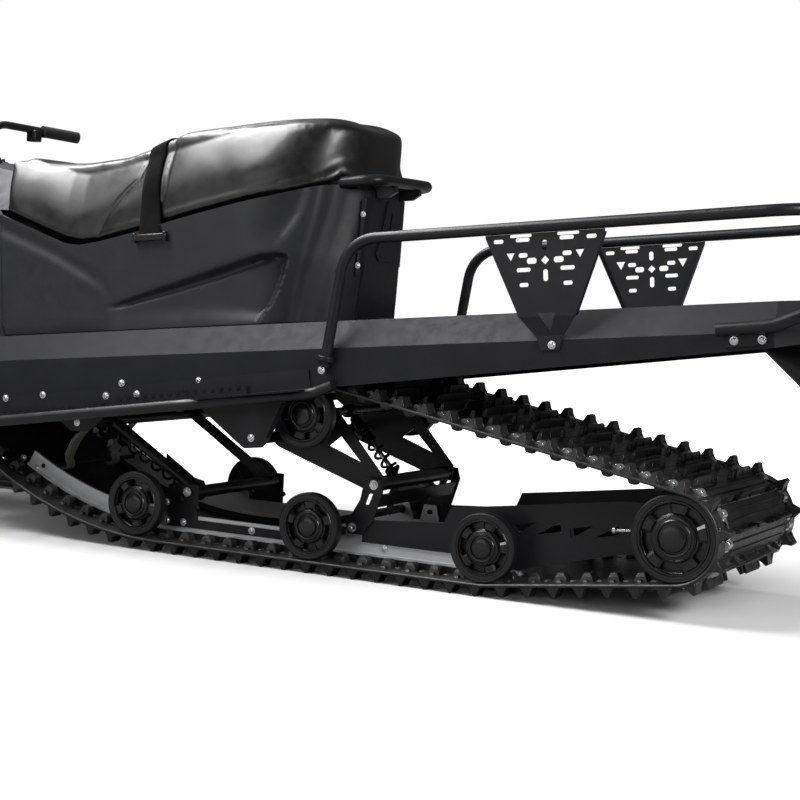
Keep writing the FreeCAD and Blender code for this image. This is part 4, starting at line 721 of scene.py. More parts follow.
# %% The two skid shocks
shock("front_skid_shock", (-590, 0, 338), (-158, 0, 115.6), "skid_shock_front", 21, 9)
shock("rear_skid_shock", (320, -60, 378), (475, -60, 218), "skid_shock_rear", 18, 6)
surface("front_skid_shock_shaft", crosswise(cross_rod(9.8, 326), (-0.590, 0, 0.338)),
        "powder_coated_steel", hides=("skid_shock_front",))

# %% [markdown]
# ## Limiter straps
# Two woven straps stop the front arm from dropping too far. Each loops over the arm's cross
# tube and round a rod between the rail noses, and is sewn to itself near the rod. Nothing
# pulls them tight here, so a smooth line through a few places gives their slack better than
# straight stretches would.

# %% Woven straps
def strap_line(points, steps=14):
    """A smooth line through side-view points: each stretch is a Hermite curve with even tangents."""
    points = np.asarray(points, float)
    tangent = np.gradient(points, axis=0)
    t = np.linspace(0, 1, steps, endpoint=False)[None, :, None]
    a, b, ta, tb = points[:-1, None], points[1:, None], tangent[:-1, None], tangent[1:, None]
    line = (2 * t ** 3 - 3 * t ** 2 + 1) * a + (t ** 3 - 2 * t ** 2 + t) * ta
    line = line + (3 * t ** 2 - 2 * t ** 3) * b + (t ** 3 - t ** 2) * tb
    return np.concatenate([line.reshape(-1, points.shape[1]), points[-1:]])


def webbing(line, y0, y1, thick):
    """A flat strap of (x, z) places with rounded edges between y0 and y1."""
    line = np.asarray(line, float)
    ahead = unit(np.gradient(line, axis=0))
    normal = np.stack([-ahead[:, 1], ahead[:, 0]], axis=-1)
    across = np.array([y0, y0 + 1, y0 + 4, y1 - 4, y1 - 1, y1, y1 - 1, y1 - 4, y0 + 4, y0 + 1])
    height = np.array([0, 0.5, 0.5, 0.5, 0.5, 0, -0.5, -0.5, -0.5, -0.5]) * thick
    flat = line[:, None, :] + normal[:, None, :] * height[None, :, None]
    across = np.broadcast_to(across, flat.shape[:2])
    return capped(np.stack([flat[..., 0], across, flat[..., 1]], axis=-1))


LIMITER = [(-530, 170), (-521, 158), (-508, 161), (-506, 175), (-509, 192), (-486, 237), (-453, 274),
           (-425, 300), (-372, 330), (-322, 330), (-296, 322)]
SECOND_PLY = [(-511, 194), (-503, 212), (-491, 235), (-474, 256)]
straps = []
for side in (-1, 1):
    y0, y1 = sorted([side * 83, side * 119])
    straps.append(webbing(strap_line(LIMITER), y0, y1, 3.0))
    straps.append(webbing(strap_line(SECOND_PLY) + [-3.2, 0], y0 + 1, y1 - 1, 2.6))
surface("limiter_webbing", scaled(joined(*straps)), "limiter_webbing", sharp=60,
        hides=("limiter_straps",))
surface("limiter_rod", crosswise(cross_rod(6, 206), (-0.515, 0, 0.172)), "powder_coated_steel",
        hides=("limiter_straps",))

# %% [markdown]
# ## Fasteners
# Bright zinc-plated button heads hold the boards, brackets and rack. They are small, but they
# catch the eye on a black machine. One head is turned from a short profile and copied to
# every place, facing outwards.

# %% Heads and their places
BUTTON_HEAD = lathe([(0, 2.4), (2.4, 2.4), (2.6, 4.6), (4.4, 4.5), (6.2, 3.2), (6.8, 1.5), (9.2, 1.3),
                     (9.2, -0.6), (0, -0.6)], 20)
hexagon = np.radians(np.arange(6) * 60)
HEX_HEAD = joined(
    lathe([(0, 1.8), (11.5, 1.8), (11.5, -0.6), (0, -0.6)], 24),
    slab(np.column_stack([8.6 * np.cos(hexagon), 8.6 * np.sin(hexagon)]), 1.6, 8.0),
    lathe([(0, 11.0), (3.6, 11.0), (4.2, 10.2), (4.2, 7.0), (0, 7.0)], 16))


def both_sides(places):
    """Places on the left side, with their mirror images, and the outward direction of each."""
    places = np.asarray(places, float)
    right = places * [1, -1, 1]
    normals = np.repeat([[0, -1, 0], [0, 1, 0]], len(places), axis=0)
    return np.concatenate([places, right]), normals


TUNNEL_SIDE, BOARD_SIDE, RAIL_SIDE = 330.3, 334.6, 208.4
tunnel_buttons = [(u, -TUNNEL_SIDE - out, w) for u, out, w in (
    (-912, 3, -161), (-791, 3, -155), (-593, 3, -162), (-545, 0, -131), (-498, 3, -159), (-315, 0, -131),
    (41, 18, -114), (617, 3, -75), (1028, 4, -80), (1088, 4, -80))]
places, normals = both_sides(tunnel_buttons)
heads = [spread(scaled(BUTTON_HEAD), from_tunnel(places), facing(normals @ TUNNEL_AXES.T))]
skid_buttons = [(209, -BOARD_SIDE, 315), (-310, -BOARD_SIDE, 310)]
skid_buttons += [(x, -RAIL_SIDE, z) for x, z in ((-111, 71), (-61, 71), (144, 71), (260, 71), (-113, 117))]
skid_buttons += [(x, -204.3, z) for x, z in ((515, 68), (-535, 164), (-496, 136), (-582, 187))]
places, normals = both_sides(skid_buttons)
heads.append(spread(scaled(BUTTON_HEAD), from_row(places), facing(normals)))
places, normals = both_sides([(430, -214.8, 111), (484, -214.8, 219), (-50, -212.4, 149)])
heads.append(spread(scaled(HEX_HEAD), from_row(places), facing(normals)))
surface("bolt_heads", joined(*heads), "zinc_plated_steel", sharp=40)

# %% [markdown]
# ## Moulded seat base
# The base is a rotationally moulded shell: straight sides that round in to a narrow rear
# face. It could be sculpted, but a sculpt has no sizes. So its side is a height field: the
# depth under a plain outline, as a function of the distance along it and the height.

# %% Seat line and smooth steps
SEAT_LINE = ((-1000, 338), (-956, 320), (-859, 278), (-754, 233), (-706, 225), (-636, 231), (-518, 249),
             (-390, 273), (-271, 292), (-155, 310), (-76, 326), (-23, 334), (90, 342))
GRAB_LEG = (152, 340)  # how far out, and how high, a leg of the grab bar meets the base


def smooth(value, low, high):
    """Rises from 0 at low to 1 at high as 3t^2 - 2t^3."""
    t = np.clip((value - low) / (high - low), 0, 1)
    return t * t * (3 - 2 * t)


def follow(places, *line):
    """The second number of a line of pairs, read off at each place."""
    return np.interp(places, *np.array(line, float).T)

# %% [markdown]
# Seen from above, the side runs straight and then bends in to the rear face, which leans back
# as it rises. One half is worked out, and the other is its mirror image.

# %% Plan outline
def seat_plan(height):
    """(u, v) along the right half of the seat's plan at a height: front, side, a Bezier bend, rear face."""
    back, tail = -5 + 0.163 * height, 98 - 0.066 * height
    t = np.linspace(0, 1, 64)[1:, None]
    a, b, c, d = np.array([(-235, 276), (back - 75, 276), (back - 22, 171), (back, tail)])
    bend = (1 - t) ** 3 * a + 3 * t * (1 - t) ** 2 * b + 3 * t * t * (1 - t) * c + t ** 3 * d
    front = np.column_stack([np.full(9, -1000.0), np.linspace(0, 236, 9)])
    side = np.column_stack([np.linspace(-960, -235, 104), np.full(104, 276.0)])
    rear = np.column_stack([np.full(7, back), np.linspace(tail, 0, 8)[1:]])
    return np.concatenate([front, side, bend, rear])

# %% [markdown]
# A long groove, a panel that sinks towards the rear, a fold at the front and a rounded pillar
# at the rear corner are all smooth steps and soft hollows, added up.

# %% Depth of the moulded forms
def seat_depth(s, w):
    """How far the moulded side lies under its plain outline, at distance s and height w: a sum of
    products of smooth steps, and of hollows shaped as exp(-x squared)."""
    groove_top = follow(s, (-640, 62), (-604, 70), (-442, 110), (-292, 146), (-164, 174), (-126, 175),
                        (-100, 170), (-60, 160))
    band = follow(s, (-640, 6), (-590, 12), (-430, 21), (-292, 25), (-152, 19), (-100, 8))
    groove = 8.0 * np.exp(-((w - groove_top + 0.7 * band) / (0.42 * band + 2)) ** 2)
    groove *= smooth(s, -640, -560) * (1 - smooth(s, -150, -104))

    rear_edge = follow(w, (0, -176), (12, -172), (30, -158), (46, -139), (82, -121), (124, -107),
                       (164, -101), (190, -101))
    sunk = follow(s, (-640, 0), (-600, 7), (-440, 15), (-292, 20), (-101, 26))
    inside = smooth(s, -625, -575) * (1 - smooth(s, rear_edge - 2, rear_edge + 7))
    under = 1 - smooth(w, groove_top - band, groove_top)
    foot = smooth(w, 0, follow(s, (-600, 60), (-350, 60), (-160, 40)))
    pocket = sunk * inside * under * (0.45 + 0.55 * foot)

    fold_line = follow(s, (-960, 290), (-828, 232), (-780, 210), (-726, 178), (-672, 152), (-634, 126),
                       (-600, 90))
    front = 1 - smooth(s, -700, -590)
    fold = 6.0 * smooth(w - fold_line, -34, -2) * (1 - smooth(w - fold_line, 2, 24)) * front
    toe = 6.0 * (1 - smooth(w, 0, 34)) * front

    valley_line = follow(w, (160, -140), (192, -138), (222, -116), (268, -90), (310, -78), (345, -72))
    reach = np.where(s < valley_line, 60.0, 20.0)
    valley = 12.0 * np.exp(-((s - valley_line) / reach) ** 2) * smooth(w, 165, 260)
    crest = follow(w, (0, -112), (58, -102), (130, -90), (200, -72), (260, -58), (320, -50), (345, -48))
    behind = 10.0 * smooth(s, crest + 14, crest + 60) * (1 - smooth(s, crest + 90, crest + 150))
    return 1.0 + pocket + groove + fold + toe + valley + behind

# %% [markdown]
# The shell goes from its foot up to the seat line, where a lip turns in under the cushion.
# Solidify gives it a wall of 4 mm.

# %% Shell of the base
def seat_skin():
    """The base's side all round, from its foot up to the seat line, with a lip turned in."""
    middle = seat_plan(170)
    s = np.cumsum(np.concatenate([[0], np.linalg.norm(np.diff(middle, axis=0), axis=1)]))
    s = s - s[9] - 960
    top = follow(middle[:, 0], *SEAT_LINE) - 0.6
    top = np.where(np.abs(middle[:, 1] - GRAB_LEG[0]) < 20, 324.5, top)
    height = np.linspace(0, 1, 64)[:, None] * (top - 0.6)[None, :] + 0.6
    low, high = seat_plan(0), seat_plan(344)
    plan = low + (high - low) * (height / 344)[..., None]
    ahead = unit(np.gradient(plan, axis=1))
    outward = np.stack([-ahead[..., 1], ahead[..., 0]], axis=-1)
    plan = plan - outward * seat_depth(s[None, :], height)[..., None]
    points = np.concatenate([plan, height[..., None]], axis=-1)
    lip = points[-1:] - np.concatenate([outward[-1:] * 9, np.zeros((1, len(s), 1))], axis=-1)
    points = np.concatenate([points, lip])
    return grid(np.concatenate([points, (points * [1, -1, 1])[:, -2:0:-1]], axis=1))


points, groups = seat_skin()
skin = surface("seat_shell", (from_tunnel(points), groups), "moulded_abs", sharp=60,
               hides=("seat_base",))
wall = skin.modifiers.new("wall", "SOLIDIFY")
wall.thickness = 0.004
wall.offset = -1

# %% [markdown]
# ## Padded cushion
# The cushion is foam under a stretched vinyl cover. A rounded box would look like plastic,
# because foam pushes the cover out most where it is free. So a copy of the plain solid is
# remeshed, its edges are relaxed, and then it is blown up a little as cloth.

# %% Copying and settling a soft piece
def soft_copy(node, voxel, rounds):
    """A remeshed copy of a plain solid, with its edges rounded by averaging neighbours."""
    mesh = NODES[node].data.copy()
    work = bmesh.new()
    work.from_mesh(mesh)
    bmesh.ops.remove_doubles(work, verts=work.verts, dist=1e-5)
    work.to_mesh(mesh)
    work.free()
    copy = bpy.data.objects.new("cushion", mesh)
    bpy.context.scene.collection.objects.link(copy)
    step = copy.modifiers.new("voxels", "REMESH")
    step.mode = "VOXEL"
    step.voxel_size = voxel
    settle(copy)
    step = copy.modifiers.new("relax", "SMOOTH")
    step.factor = 0.6
    step.iterations = rounds
    settle(copy)
    return copy


def settle(piece):
    """Applies every modifier of a piece to its mesh."""
    shaped = bpy.data.meshes.new_from_object(piece.evaluated_get(bpy.context.evaluated_depsgraph_get()))
    piece.modifiers.clear()
    piece.data = shaped


def read(mesh, what="co"):
    """The points of a mesh, or their normals, as an array."""
    values = np.empty(len(mesh.vertices) * 3, dtype=np.float32)
    mesh.vertices.foreach_get(what, values)
    return values.reshape(-1, 3).astype(float)


def to_tunnel(points):
    """Row-frame metres back to millimetres along the tunnel."""
    return (np.asarray(points, float) - TUNNEL_ORIGIN) @ TUNNEL_AXES / MM

# %% [markdown]
# Cloth under pressure wrinkles on a coarse mesh. The movement of each point is averaged with
# its neighbours', which keeps the swell and drops the wrinkles.

# %% Swelling and evening
def inflate(piece, frames=18):
    """Swells a closed mesh as cloth under inner pressure, with no gravity."""
    cloth = piece.modifiers.new("cover", "CLOTH")
    cloth.settings.use_pressure = True
    cloth.settings.uniform_pressure_force = 4.0
    cloth.settings.effector_weights.gravity = 0
    cloth.settings.quality = 4
    cloth.collision_settings.use_collision = False
    cloth.point_cache.frame_start = 1
    cloth.point_cache.frame_end = frames
    for frame_number in range(1, frames + 1):
        bpy.context.scene.frame_set(frame_number)
    settle(piece)
    bpy.context.scene.frame_set(1)


def evened(mesh, values, rounds):
    """Averages a vector at each point with its neighbours', so no wrinkle is left in it."""
    ends = np.empty(len(mesh.edges) * 2, dtype=np.int32)
    mesh.edges.foreach_get("vertices", ends)
    a, b = ends.reshape(-1, 2).T
    count = len(values)
    degree = np.bincount(a, minlength=count) + np.bincount(b, minlength=count)
    for _ in range(rounds):
        total = [np.bincount(a, values[b, k], count) + np.bincount(b, values[a, k], count) for k in range(3)]
        values = 0.4 * values + 0.6 * np.stack(total, axis=-1) / degree[:, None]
    return values

# %% [markdown]
# Movement is also capped: nothing at the base line or at the grab bar, and most on the free
# sides and top.

# %% Swelling the cushion
SEAM_FRONT = ((236, -662), (252, -654), (270, -644), (300, -624), (336, -594), (364, -566), (384, -540),
              (420, -526))
SEAM_REAR = ((250, -478), (300, -462), (344, -450), (420, -444))
SWELL = 13.0
cushion = soft_copy("seat_cushion", 0.010, 16)
start = read(cushion.data)
inflate(cushion)
move = evened(cushion.data, read(cushion.data) - start, 12)
place = to_tunnel(start)
rise = place[:, 2] - follow(place[:, 0], *SEAT_LINE)
to_leg = np.hypot(np.abs(place[:, 1]) - GRAB_LEG[0], place[:, 2] - GRAB_LEG[1])
to_leg = np.where(place[:, 0] > -60, to_leg, 200)
cap = SWELL * MM * smooth(rise, 2, 40) * smooth(to_leg, 18, 60)
size = np.linalg.norm(move, axis=1)
held_back = cap * np.tanh(size / np.maximum(cap, 1e-6)) / np.maximum(size, 1e-9)
move_to(cushion.data, start + move * held_back[:, None])
step = cushion.modifiers.new("finer", "SUBSURF")
step.levels = step.render_levels = 1
settle(cushion)
print("cushion points", len(cushion.data.vertices), "largest move mm", round(float(size.max() / MM), 1))

# %% [markdown]
# Two sewn seams cross the cover where the driver's and the passenger's panels meet. Each
# pulls the cover in along a narrow groove. The lower hem is pulled in hard all round, so the
# side rolls under before it meets the plastic, and the sides lean in towards the top.

# %% Seams, hem and lean
points, normals = read(cushion.data), read(cushion.data, "normal")
place = to_tunnel(points)
rise = place[:, 2] - follow(place[:, 0], *SEAT_LINE)
out = np.abs(place[:, 1])
dip = np.zeros(len(points))
for line, depth in ((SEAM_FRONT, 3.2), (SEAM_REAR, 2.0)):
    away = place[:, 0] - follow(place[:, 2], *line)
    dip += depth * np.exp(-(away / 5.0) ** 2) + 0.8 * depth * np.exp(-(away / 28.0) ** 2)
dip *= smooth(rise, 4, 22)
roll = 9.0 * (1 - smooth(rise, 0, 26)) * smooth(out, 232, 262) * smooth(rise, -14, -2)
lean_in = 29.0 * np.clip((rise - 36) / 115, 0, 1.3) ** 1.9 * np.clip(out / 262, 0, 1.1) ** 3
inward = np.outer(lean_in * np.sign(place[:, 1]) * MM, [0, 1, 0])
move_to(cushion.data, points - normals * ((dip + roll) * MM)[:, None] - inward)
print("seams sunk mm", round(float(dip.max()), 1))

# %% [markdown]
# The finished cover takes the place of the plain cushion.

# %% The cover's finish
cushion.name = "seat_cushion_cover"
cushion.data.materials.clear()
cushion.data.materials.append(LOOKS["coated_vinyl"])
cushion.data.shade_smooth()
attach(cushion, "chassis")
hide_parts("seat_cushion")

# %% [markdown]
# ## Stitches and the strap
# Twin rows of thread run beside each seam. They could be drawn as a bump, but real stitches
# catch the light one by one. Rays cast at the cover find where each stitch lies.

# %% Stitches
COVER = BVHTree.FromObject(cushion, bpy.context.evaluated_depsgraph_get())
BASE = BVHTree.FromObject(skin, bpy.context.evaluated_depsgraph_get())


def lands(trees, origin, aim):
    """Where a ray in tunnel millimetres first meets any of the trees, and the outward direction there."""
    start = Vector(from_tunnel(origin))
    way = Vector(TUNNEL_AXES @ np.asarray(aim, float)).normalized()
    hits = [hit for hit in (tree.ray_cast(start, way) for tree in trees) if hit[0] is not None]
    if not hits:
        return None
    hit = min(hits, key=lambda found: found[3])
    out = np.array(hit[1]) if hit[1].dot(way) < 0 else -np.array(hit[1])
    return np.array(hit[0]), out


def stitch_row(line, low, high, shift, gap=8.0):
    """Where the stitches of one row land, up the left side, down the right and over the top."""
    rays = [((float(follow(w, *line)) + shift, side * 420, w), (0, -side, 0))
            for side in (-1, 1) for w in np.arange(low, high, gap * 0.8)]
    rays += [((float(follow(430, *line)) + shift, v, 640), (0, 0, -1)) for v in np.arange(-232, 233, gap)]
    found = [hit for hit in (lands([COVER], *ray) for ray in rays) if hit]
    return np.array([hit[0] for hit in found]), np.array([hit[1] for hit in found])


STITCH = scaled(frustum((-2.6, 2.6, -0.8, 0.8), (-1.6, 1.6, -0.4, 0.4), -0.4, 0.9))
rows = []
for line, low, high in ((SEAM_FRONT, 262, 372), (SEAM_REAR, 300, 384)):
    for shift in (-8, 8):
        where, out = stitch_row(line, low, high, shift)
        slope = np.where(np.abs(out[:, 1:2]) > 0.6, [[0.45, 0.0, 0.9]], [[0.0, 1.0, 0.0]])
        rows.append(spread(STITCH, where, facing(out, along=slope)))
surface("seat_stitches", joined(*rows), "stitching", hides=("seat_cushion",))

# %% [markdown]
# A webbing strap goes over the cushion and down both sides to a buckle. Its middle is laid on
# the surface by rays too, and its ends run straight down to the buckles.

# %% Strap and buckles
STRAP_FRONT = ((222, -511), (326, -516), (420, -516))
STRAP_REAR = ((222, -442), (322, -463), (420, -466))
columns = np.linspace(0, 1, 7)
held = []
for turn in np.radians(np.linspace(6, 174, 71)):
    v, w = -420 * math.cos(turn), 300 + 320 * math.sin(turn)
    for column in columns:
        u = float(follow(w, *STRAP_FRONT)) * (1 - column) + column * float(follow(w, *STRAP_REAR))
        hit = lands([COVER, BASE], (u, v, w), (0, math.cos(turn), -math.sin(turn) * 0.5))
        held.append(hit[0] + hit[1] * 0.0022 if hit else from_tunnel((u, v / 1.5, 300)))
held = np.array(held).reshape(-1, len(columns), 3)
drops = np.linspace(0, 1, 9)[:-1, None, None]
ends = []
for side, row in ((-1, held[0]), (1, held[-1])):
    foot = from_tunnel(np.column_stack([-511 + columns * 69, np.full(7, side * 281.5), np.full(7, 224.0)]))
    ends.append(foot + (row - foot) * drops)
strap_points = np.concatenate([ends[0], held, ends[1][::-1]])
strap = surface("seat_strap_webbing", grid(strap_points, around=False), "seat_webbing",
                sharp=70, hides=("seat_strap",))
wall = strap.modifiers.new("weave", "SOLIDIFY")
wall.thickness = 0.0028
wall.offset = 1
bar = joined(block(-48, 48, -5, 5, -8, 8), *(block(u - 4, u + 4, -6, 6, -12, 12) for u in (-46, 46)))
at_feet = [from_tunnel((-477, side * 284, 230)) for side in (-1, 1)]
buckles = surface("seat_strap_buckles", spread(scaled(bar), at_feet, TUNNEL_AXES), "wheel_nylon",
                  hides=("seat_strap",))
bevelled(buckles, 0.002)
print("strap rows", len(strap_points), "stitch rows", len(rows))

# %% [markdown]
# ## Grip teeth and collars
# The foot rest is sheet with its edges punched up into a saw edge, so a boot does not slip.
# Teeth modelled one by one would be hundreds of meshes. They are strips with a saw-shaped
# top, set in the board's own frame. A short collar stands where each rack leg meets the board
# tube.

# %% Teeth along the board
BOARD_LEAN = math.atan(0.0546)


def from_board(points):
    """Board millimetres (along, across, up from the deck) to metres in the row frame."""
    x, y, z = np.asarray(points, float).T
    u = x * math.cos(BOARD_LEAN) - z * math.sin(BOARD_LEAN)
    w = x * math.sin(BOARD_LEAN) + z * math.cos(BOARD_LEAN) - 158
    return from_tunnel(np.column_stack([u, y, w]))


def saw_edge(low, high, y, foot=0.5, tall=11.0, pitch=25.0):
    """A strip of saw teeth 2.5 mm thick from low to high along the board."""
    tooth = np.array([(0, 0.35), (0.22, 1.0), (0.40, 1.0), (0.62, 0.35)])
    start = low + np.arange(int((high - low) / pitch)) * pitch
    x = (start[:, None] + tooth[None, :, 0] * pitch).ravel()
    z = foot + tall * np.tile(tooth[:, 1], len(start))
    strips = [np.column_stack([x, np.full(len(x), y + side), z]) for side in (-1.25, 1.25)]
    feet = [strip * [1, 1, 0] + [0, 0, foot - 3] for strip in strips]
    return capped(np.stack([feet[0], strips[0], strips[1], feet[1]], axis=1))


teeth = []
for side in (-1, 1):
    for low, high in ((-1080, -790), (-770, -680), (-640, -590), (-560, -150)):
        teeth.append(saw_edge(low, high, side * 346, foot=3.0, tall=10.0 + 12.0 * (low > -600)))
    for y in (382, 432, 482):
        for hole in np.arange(9) * 100 - 1030:
            teeth.append(saw_edge(hole - 19, hole - 0.5, side * y, tall=8.0, pitch=9.0))
points, groups = joined(*teeth)
surface("board_grip_teeth", (from_board(points), groups), "powder_coated_steel", sharp=20)

# %% [markdown]
# The collars are turned rings whose axis is that of the leaning rack leg.

# %% Collars
collar = lathe([(13.2, -9), (17.5, -9), (19.5, -7), (19.5, 3), (17.5, 5), (13.2, 5)], 28, closed=True)
leg = TUNNEL_AXES @ [69.0, 0, 280.0]
at_legs = [from_tunnel((51, side * 343.3, -86)) for side in (-1, 1)]
collars = spread(scaled(collar), at_legs, facing([leg, leg], along=(0.0, 1.0, 0.0)))
bevelled(surface("rack_collars", collars, "powder_coated_steel"), 0.001)
print("strips of teeth", len(teeth))

# %% [markdown]
# ## Front arm gussets
# Flat plates stiffen the front skid arm where its two tubes meet the lower cross tube. A
# plate is its outline given thickness, kept just inside the tube that it is welded to. Low
# black rivets dot the arm mounts.

# %% Gussets and rivets
GUSSET = [(-150, 236), (-60, 181), (-32, 176), (-24, 160), (-40, 134), (-66, 132), (-100, 168), (-150, 208)]
gussets = joined(*(side_view(GUSSET, side * 168, side * 164) for side in (-1, 1)))
bevelled(surface("front_arm_gussets", scaled(gussets), "powder_coated_steel"), 0.0012)

RIVET = scaled(lathe([(0, 3.2), (5, 3.0), (6.4, 2.0), (7.0, -0.5), (0, -0.5)], 16))
places, normals = both_sides([(-70, -RAIL_SIDE, 128), (-20, -RAIL_SIDE, 112)])
rivets = spread(RIVET, from_row(places), facing(normals))
surface("mount_rivets", rivets, "powder_coated_steel")

# %% [markdown]
# ## Seat back hardware and belt adjusters
# A folded strip and two bolts close the left rear corner of the seat base. Its rear face
# leans back by 0.163 mm for each mm of height, and the strip follows it, so it doesn't stand
# off at the top. A bolt behind each rear wheel pushes the axle back to tighten the belt.

# %% Strip, bolts and adjusters
BACK_LEAN = 0.163
strip = [(step + BACK_LEAN * w, w) for step, w in ((-8, 112), (1, 112), (1, 300), (-8, 300))]
points, groups = side_view(strip, -116, -112.5)
strip = surface("seat_back_strip", (from_tunnel(points), groups), "powder_coated_steel")
bevelled(strip, 0.001)
places = from_tunnel([(-3 + BACK_LEAN * w, -116, w) for w in (138, 262)])
small_heads = spread(scaled(BUTTON_HEAD, 0.75 * MM), places, facing([(0, -1, 0)] * 2))
surface("seat_back_bolts", small_heads, "zinc_plated_steel")

ADJUSTER = [(0, 0), (8, 0), (8, 7), (4, 7), (4, 42), (0, 42)]
adjusters = [turned_along(ADJUSTER, from_row((1094, side * 213, 177)), from_row((1140, side * 213, 181)))
             for side in (-1, 1)]
surface("belt_adjusters", joined(*adjusters), "zinc_plated_steel")

# %% [markdown]
# ## Front suspension springs
# The ski shocks are coil-overs between the lower arm and the frame inside the body. The
# kingpin leans back by twenty degrees, which fixes where the lower eye sits. The shapes are
# those of the skid shocks, with a longer body and a loose spring seat.

# %% Ski shocks
KINGPIN_LEAN = math.radians(20)
eye_x = -1150 + 147 * math.sin(KINGPIN_LEAN)
eye_z = 92 + 147 * math.cos(KINGPIN_LEAN) + 60 * 80 / 270
EYE = scaled(lathe([(10.4, -14), (17, -14), (18, -12), (18, 12), (17, 14), (10.4, 14)], 28, closed=True))
for side, word in ((-1, "left"), (1, "right")):
    low, top = np.array([eye_x, side * 390, eye_z]), np.array([-985, side * 240, 560])
    a, b = from_row(low), from_row(low + unit(top - low) * 250)
    barrel = [(0, 30), (9, 30), (9, 60), (22, 62), (24, 66), (24, 70), (17, 72), (17, 240), (0, 240)]
    damper = joined(
        turned_along(barrel, a, b),
        spread(EYE, [a], facing([(1, 0, 0)], along=(0.0, 0.0, 1.0))),
        turned_along([(0, 12), (8, 12), (8, 34), (0, 34)], a, b),
        turned_along([(16.9, 206), (22, 206), (23, 210), (16.9, 213)], a, b))
    spring = coil(a + (b - a) * (74 / 250), a + (b - a) * (204 / 250), 20 * MM, 3.6 * MM, 7)
    hides = ("front_shock_" + word,)
    surface("ski_shock_body_" + word, damper, "powder_coated_steel", hides=hides)
    surface("ski_shock_spring_" + word, spring, "spring_steel", hides=hides)

# %% [markdown]
# ## Skis, lamps and body vents
# A hardened wear bar runs under each ski, and ribs stiffen its top. The ribs follow the ski's
# own line, so they curve up with its tip, and they ride on the ski's body.

# %% Ribs and wear bars
def swept_bar(line, y0, y1, thick):
    """A bar whose side-view line is (x, z) with an even thickness upwards."""
    x, z = np.asarray(line, float).T
    corners = ((y0, z), (y1, z), (y1, z + thick), (y0, z + thick))
    return capped(np.stack([np.column_stack([x, np.full(len(x), y), at]) for y, at in corners], axis=1))


SKI_OUT = 480
SKI_TOP = [(-900, 16), (-1100, 16), (-1370, 16), (-1430, 20), (-1500, 30), (-1560, 51), (-1620, 114),
           (-1650, 148)]
for side, word in ((-1, "left"), (1, "right")):
    c = side * SKI_OUT
    ribs = [swept_bar(strap_line(SKI_TOP, 6) + [0, 7], c + y - 4, c + y + 4, 12) for y in (-58, 58)]
    ribs += [swept_bar([(x - 40, 22), (x + 40, 22)], c - 12, c + 12, 8) for x in (-880, -1300, -1420)]
    ribs = surface("ski_ribs_" + word, scaled(joined(*ribs)), "slider_polymer", "ski_" + word)
    bevelled(ribs, 0.0015)
    runner = np.column_stack([np.linspace(-950, -1330, 12), np.full(12, c), np.full(12, 3.6)])
    wear_bar = tube(from_row(runner), 3.4 * MM)
    surface("ski_wear_bar_" + word, wear_bar, "zinc_plated_steel", "ski_" + word)

# %% [markdown]
# Each lamp has a moulded bezel and a lens with pressed rings, both turned about the lamp's
# axis.

# %% Lamp bezels and lenses
bezel = lathe([(38.2, -8), (47, -8), (48.5, -4), (48.5, 2), (46, 5), (41, 5), (38.2, 2)], 48, closed=True)
rings = lathe([(0, 3.0), (14, 2.6), (15, 1.4), (16, 2.5), (28, 1.8), (29, 0.6), (30, 1.6), (37, 0.4),
               (37, -1), (0, -1)], 48)
places = [from_row((-1575, side * 110, 690)) for side in (-1, 1)]
axes = facing([(-95.0, 0, -16.0)] * 2, along=(0.0, 0.0, 1.0))
bevelled(surface("lamp_bezels", spread(scaled(bezel), places, axes), "moulded_abs"), 0.001)
surface("lamp_lens_rings", spread(scaled(rings), places, axes), "lamp_lens", sharp=25)

# %% [markdown]
# The side panels and the nose carry vents: short moulded fins. They could be lined up by
# hand, but the panels are curved, so a cast ray finds the surface and its direction for each.

# %% Vent fins
def cast(node, start, way):
    """Where a ray from row millimetres meets a node, and the direction there that faces the ray."""
    tree = BVHTree.FromObject(NODES[node], bpy.context.evaluated_depsgraph_get())
    place, normal, _, _ = tree.ray_cast(Vector(from_row(start)), Vector(way))
    return np.array(place), np.array(normal) * (1 if normal.dot(Vector(way)) < 0 else -1)


FIN = joined(frustum((-55, 55, -7, 7), (-50, 50, -5, -1), -2, 9),
             frustum((-60, 60, -10, 10), (-58, 58, -9, 9), -3, 1.2))
SIDE_FINS = ((-1300, 600), (-1310, 570), (-1320, 540), (-1130, 560), (-1130, 530), (-1130, 500))
fins = [(*cast("side_panel_" + word, (x, side * 600, z), (0, -side, 0)), (1.0, 0.0, 0.0))
        for side, word in ((-1, "left"), (1, "right")) for x, z in SIDE_FINS]
fins += [(*cast("hood", (-1800, 0, z), (1, 0, 0)), (0.0, 1.0, 0.0)) for z in (668, 690, 712)]
where, out, lengthwise = (np.array(column) for column in zip(*fins))
print("fins", len(fins))
fins = spread(scaled(FIN), where, facing(out, along=lengthwise))
bevelled(surface("body_vent_fins", fins, "moulded_abs"), 0.0012)

# %% [markdown]
# ## Cockpit
# The dash has a round gauge, whose face stays blank, and a key switch. Each half of the bar
# carries a bent lever and its clamp block. They ride on the steering body, so they turn with
# the bar.

# %% Gauge, key and levers
dash, normal = cast("console", (-930, 0, 1400), (0, 0, -1))
axes = facing([normal], along=(0.0, 1.0, 0.0))
gauge = lathe([(0, 7), (36, 7), (38, 8), (40, 13), (45, 14), (48, 11), (50, 2), (52, -3), (0, -3)], 48)
key = lathe([(0, 16), (4, 16), (5, 14), (5, 6), (13, 6), (15, 3), (16, -3), (0, -3)], 24)
dials = joined(spread(scaled(gauge), [dash], axes), spread(scaled(key), [dash + axes[0][:, 0] * 0.085], axes))
surface("dash_gauge", dials, "wheel_nylon")

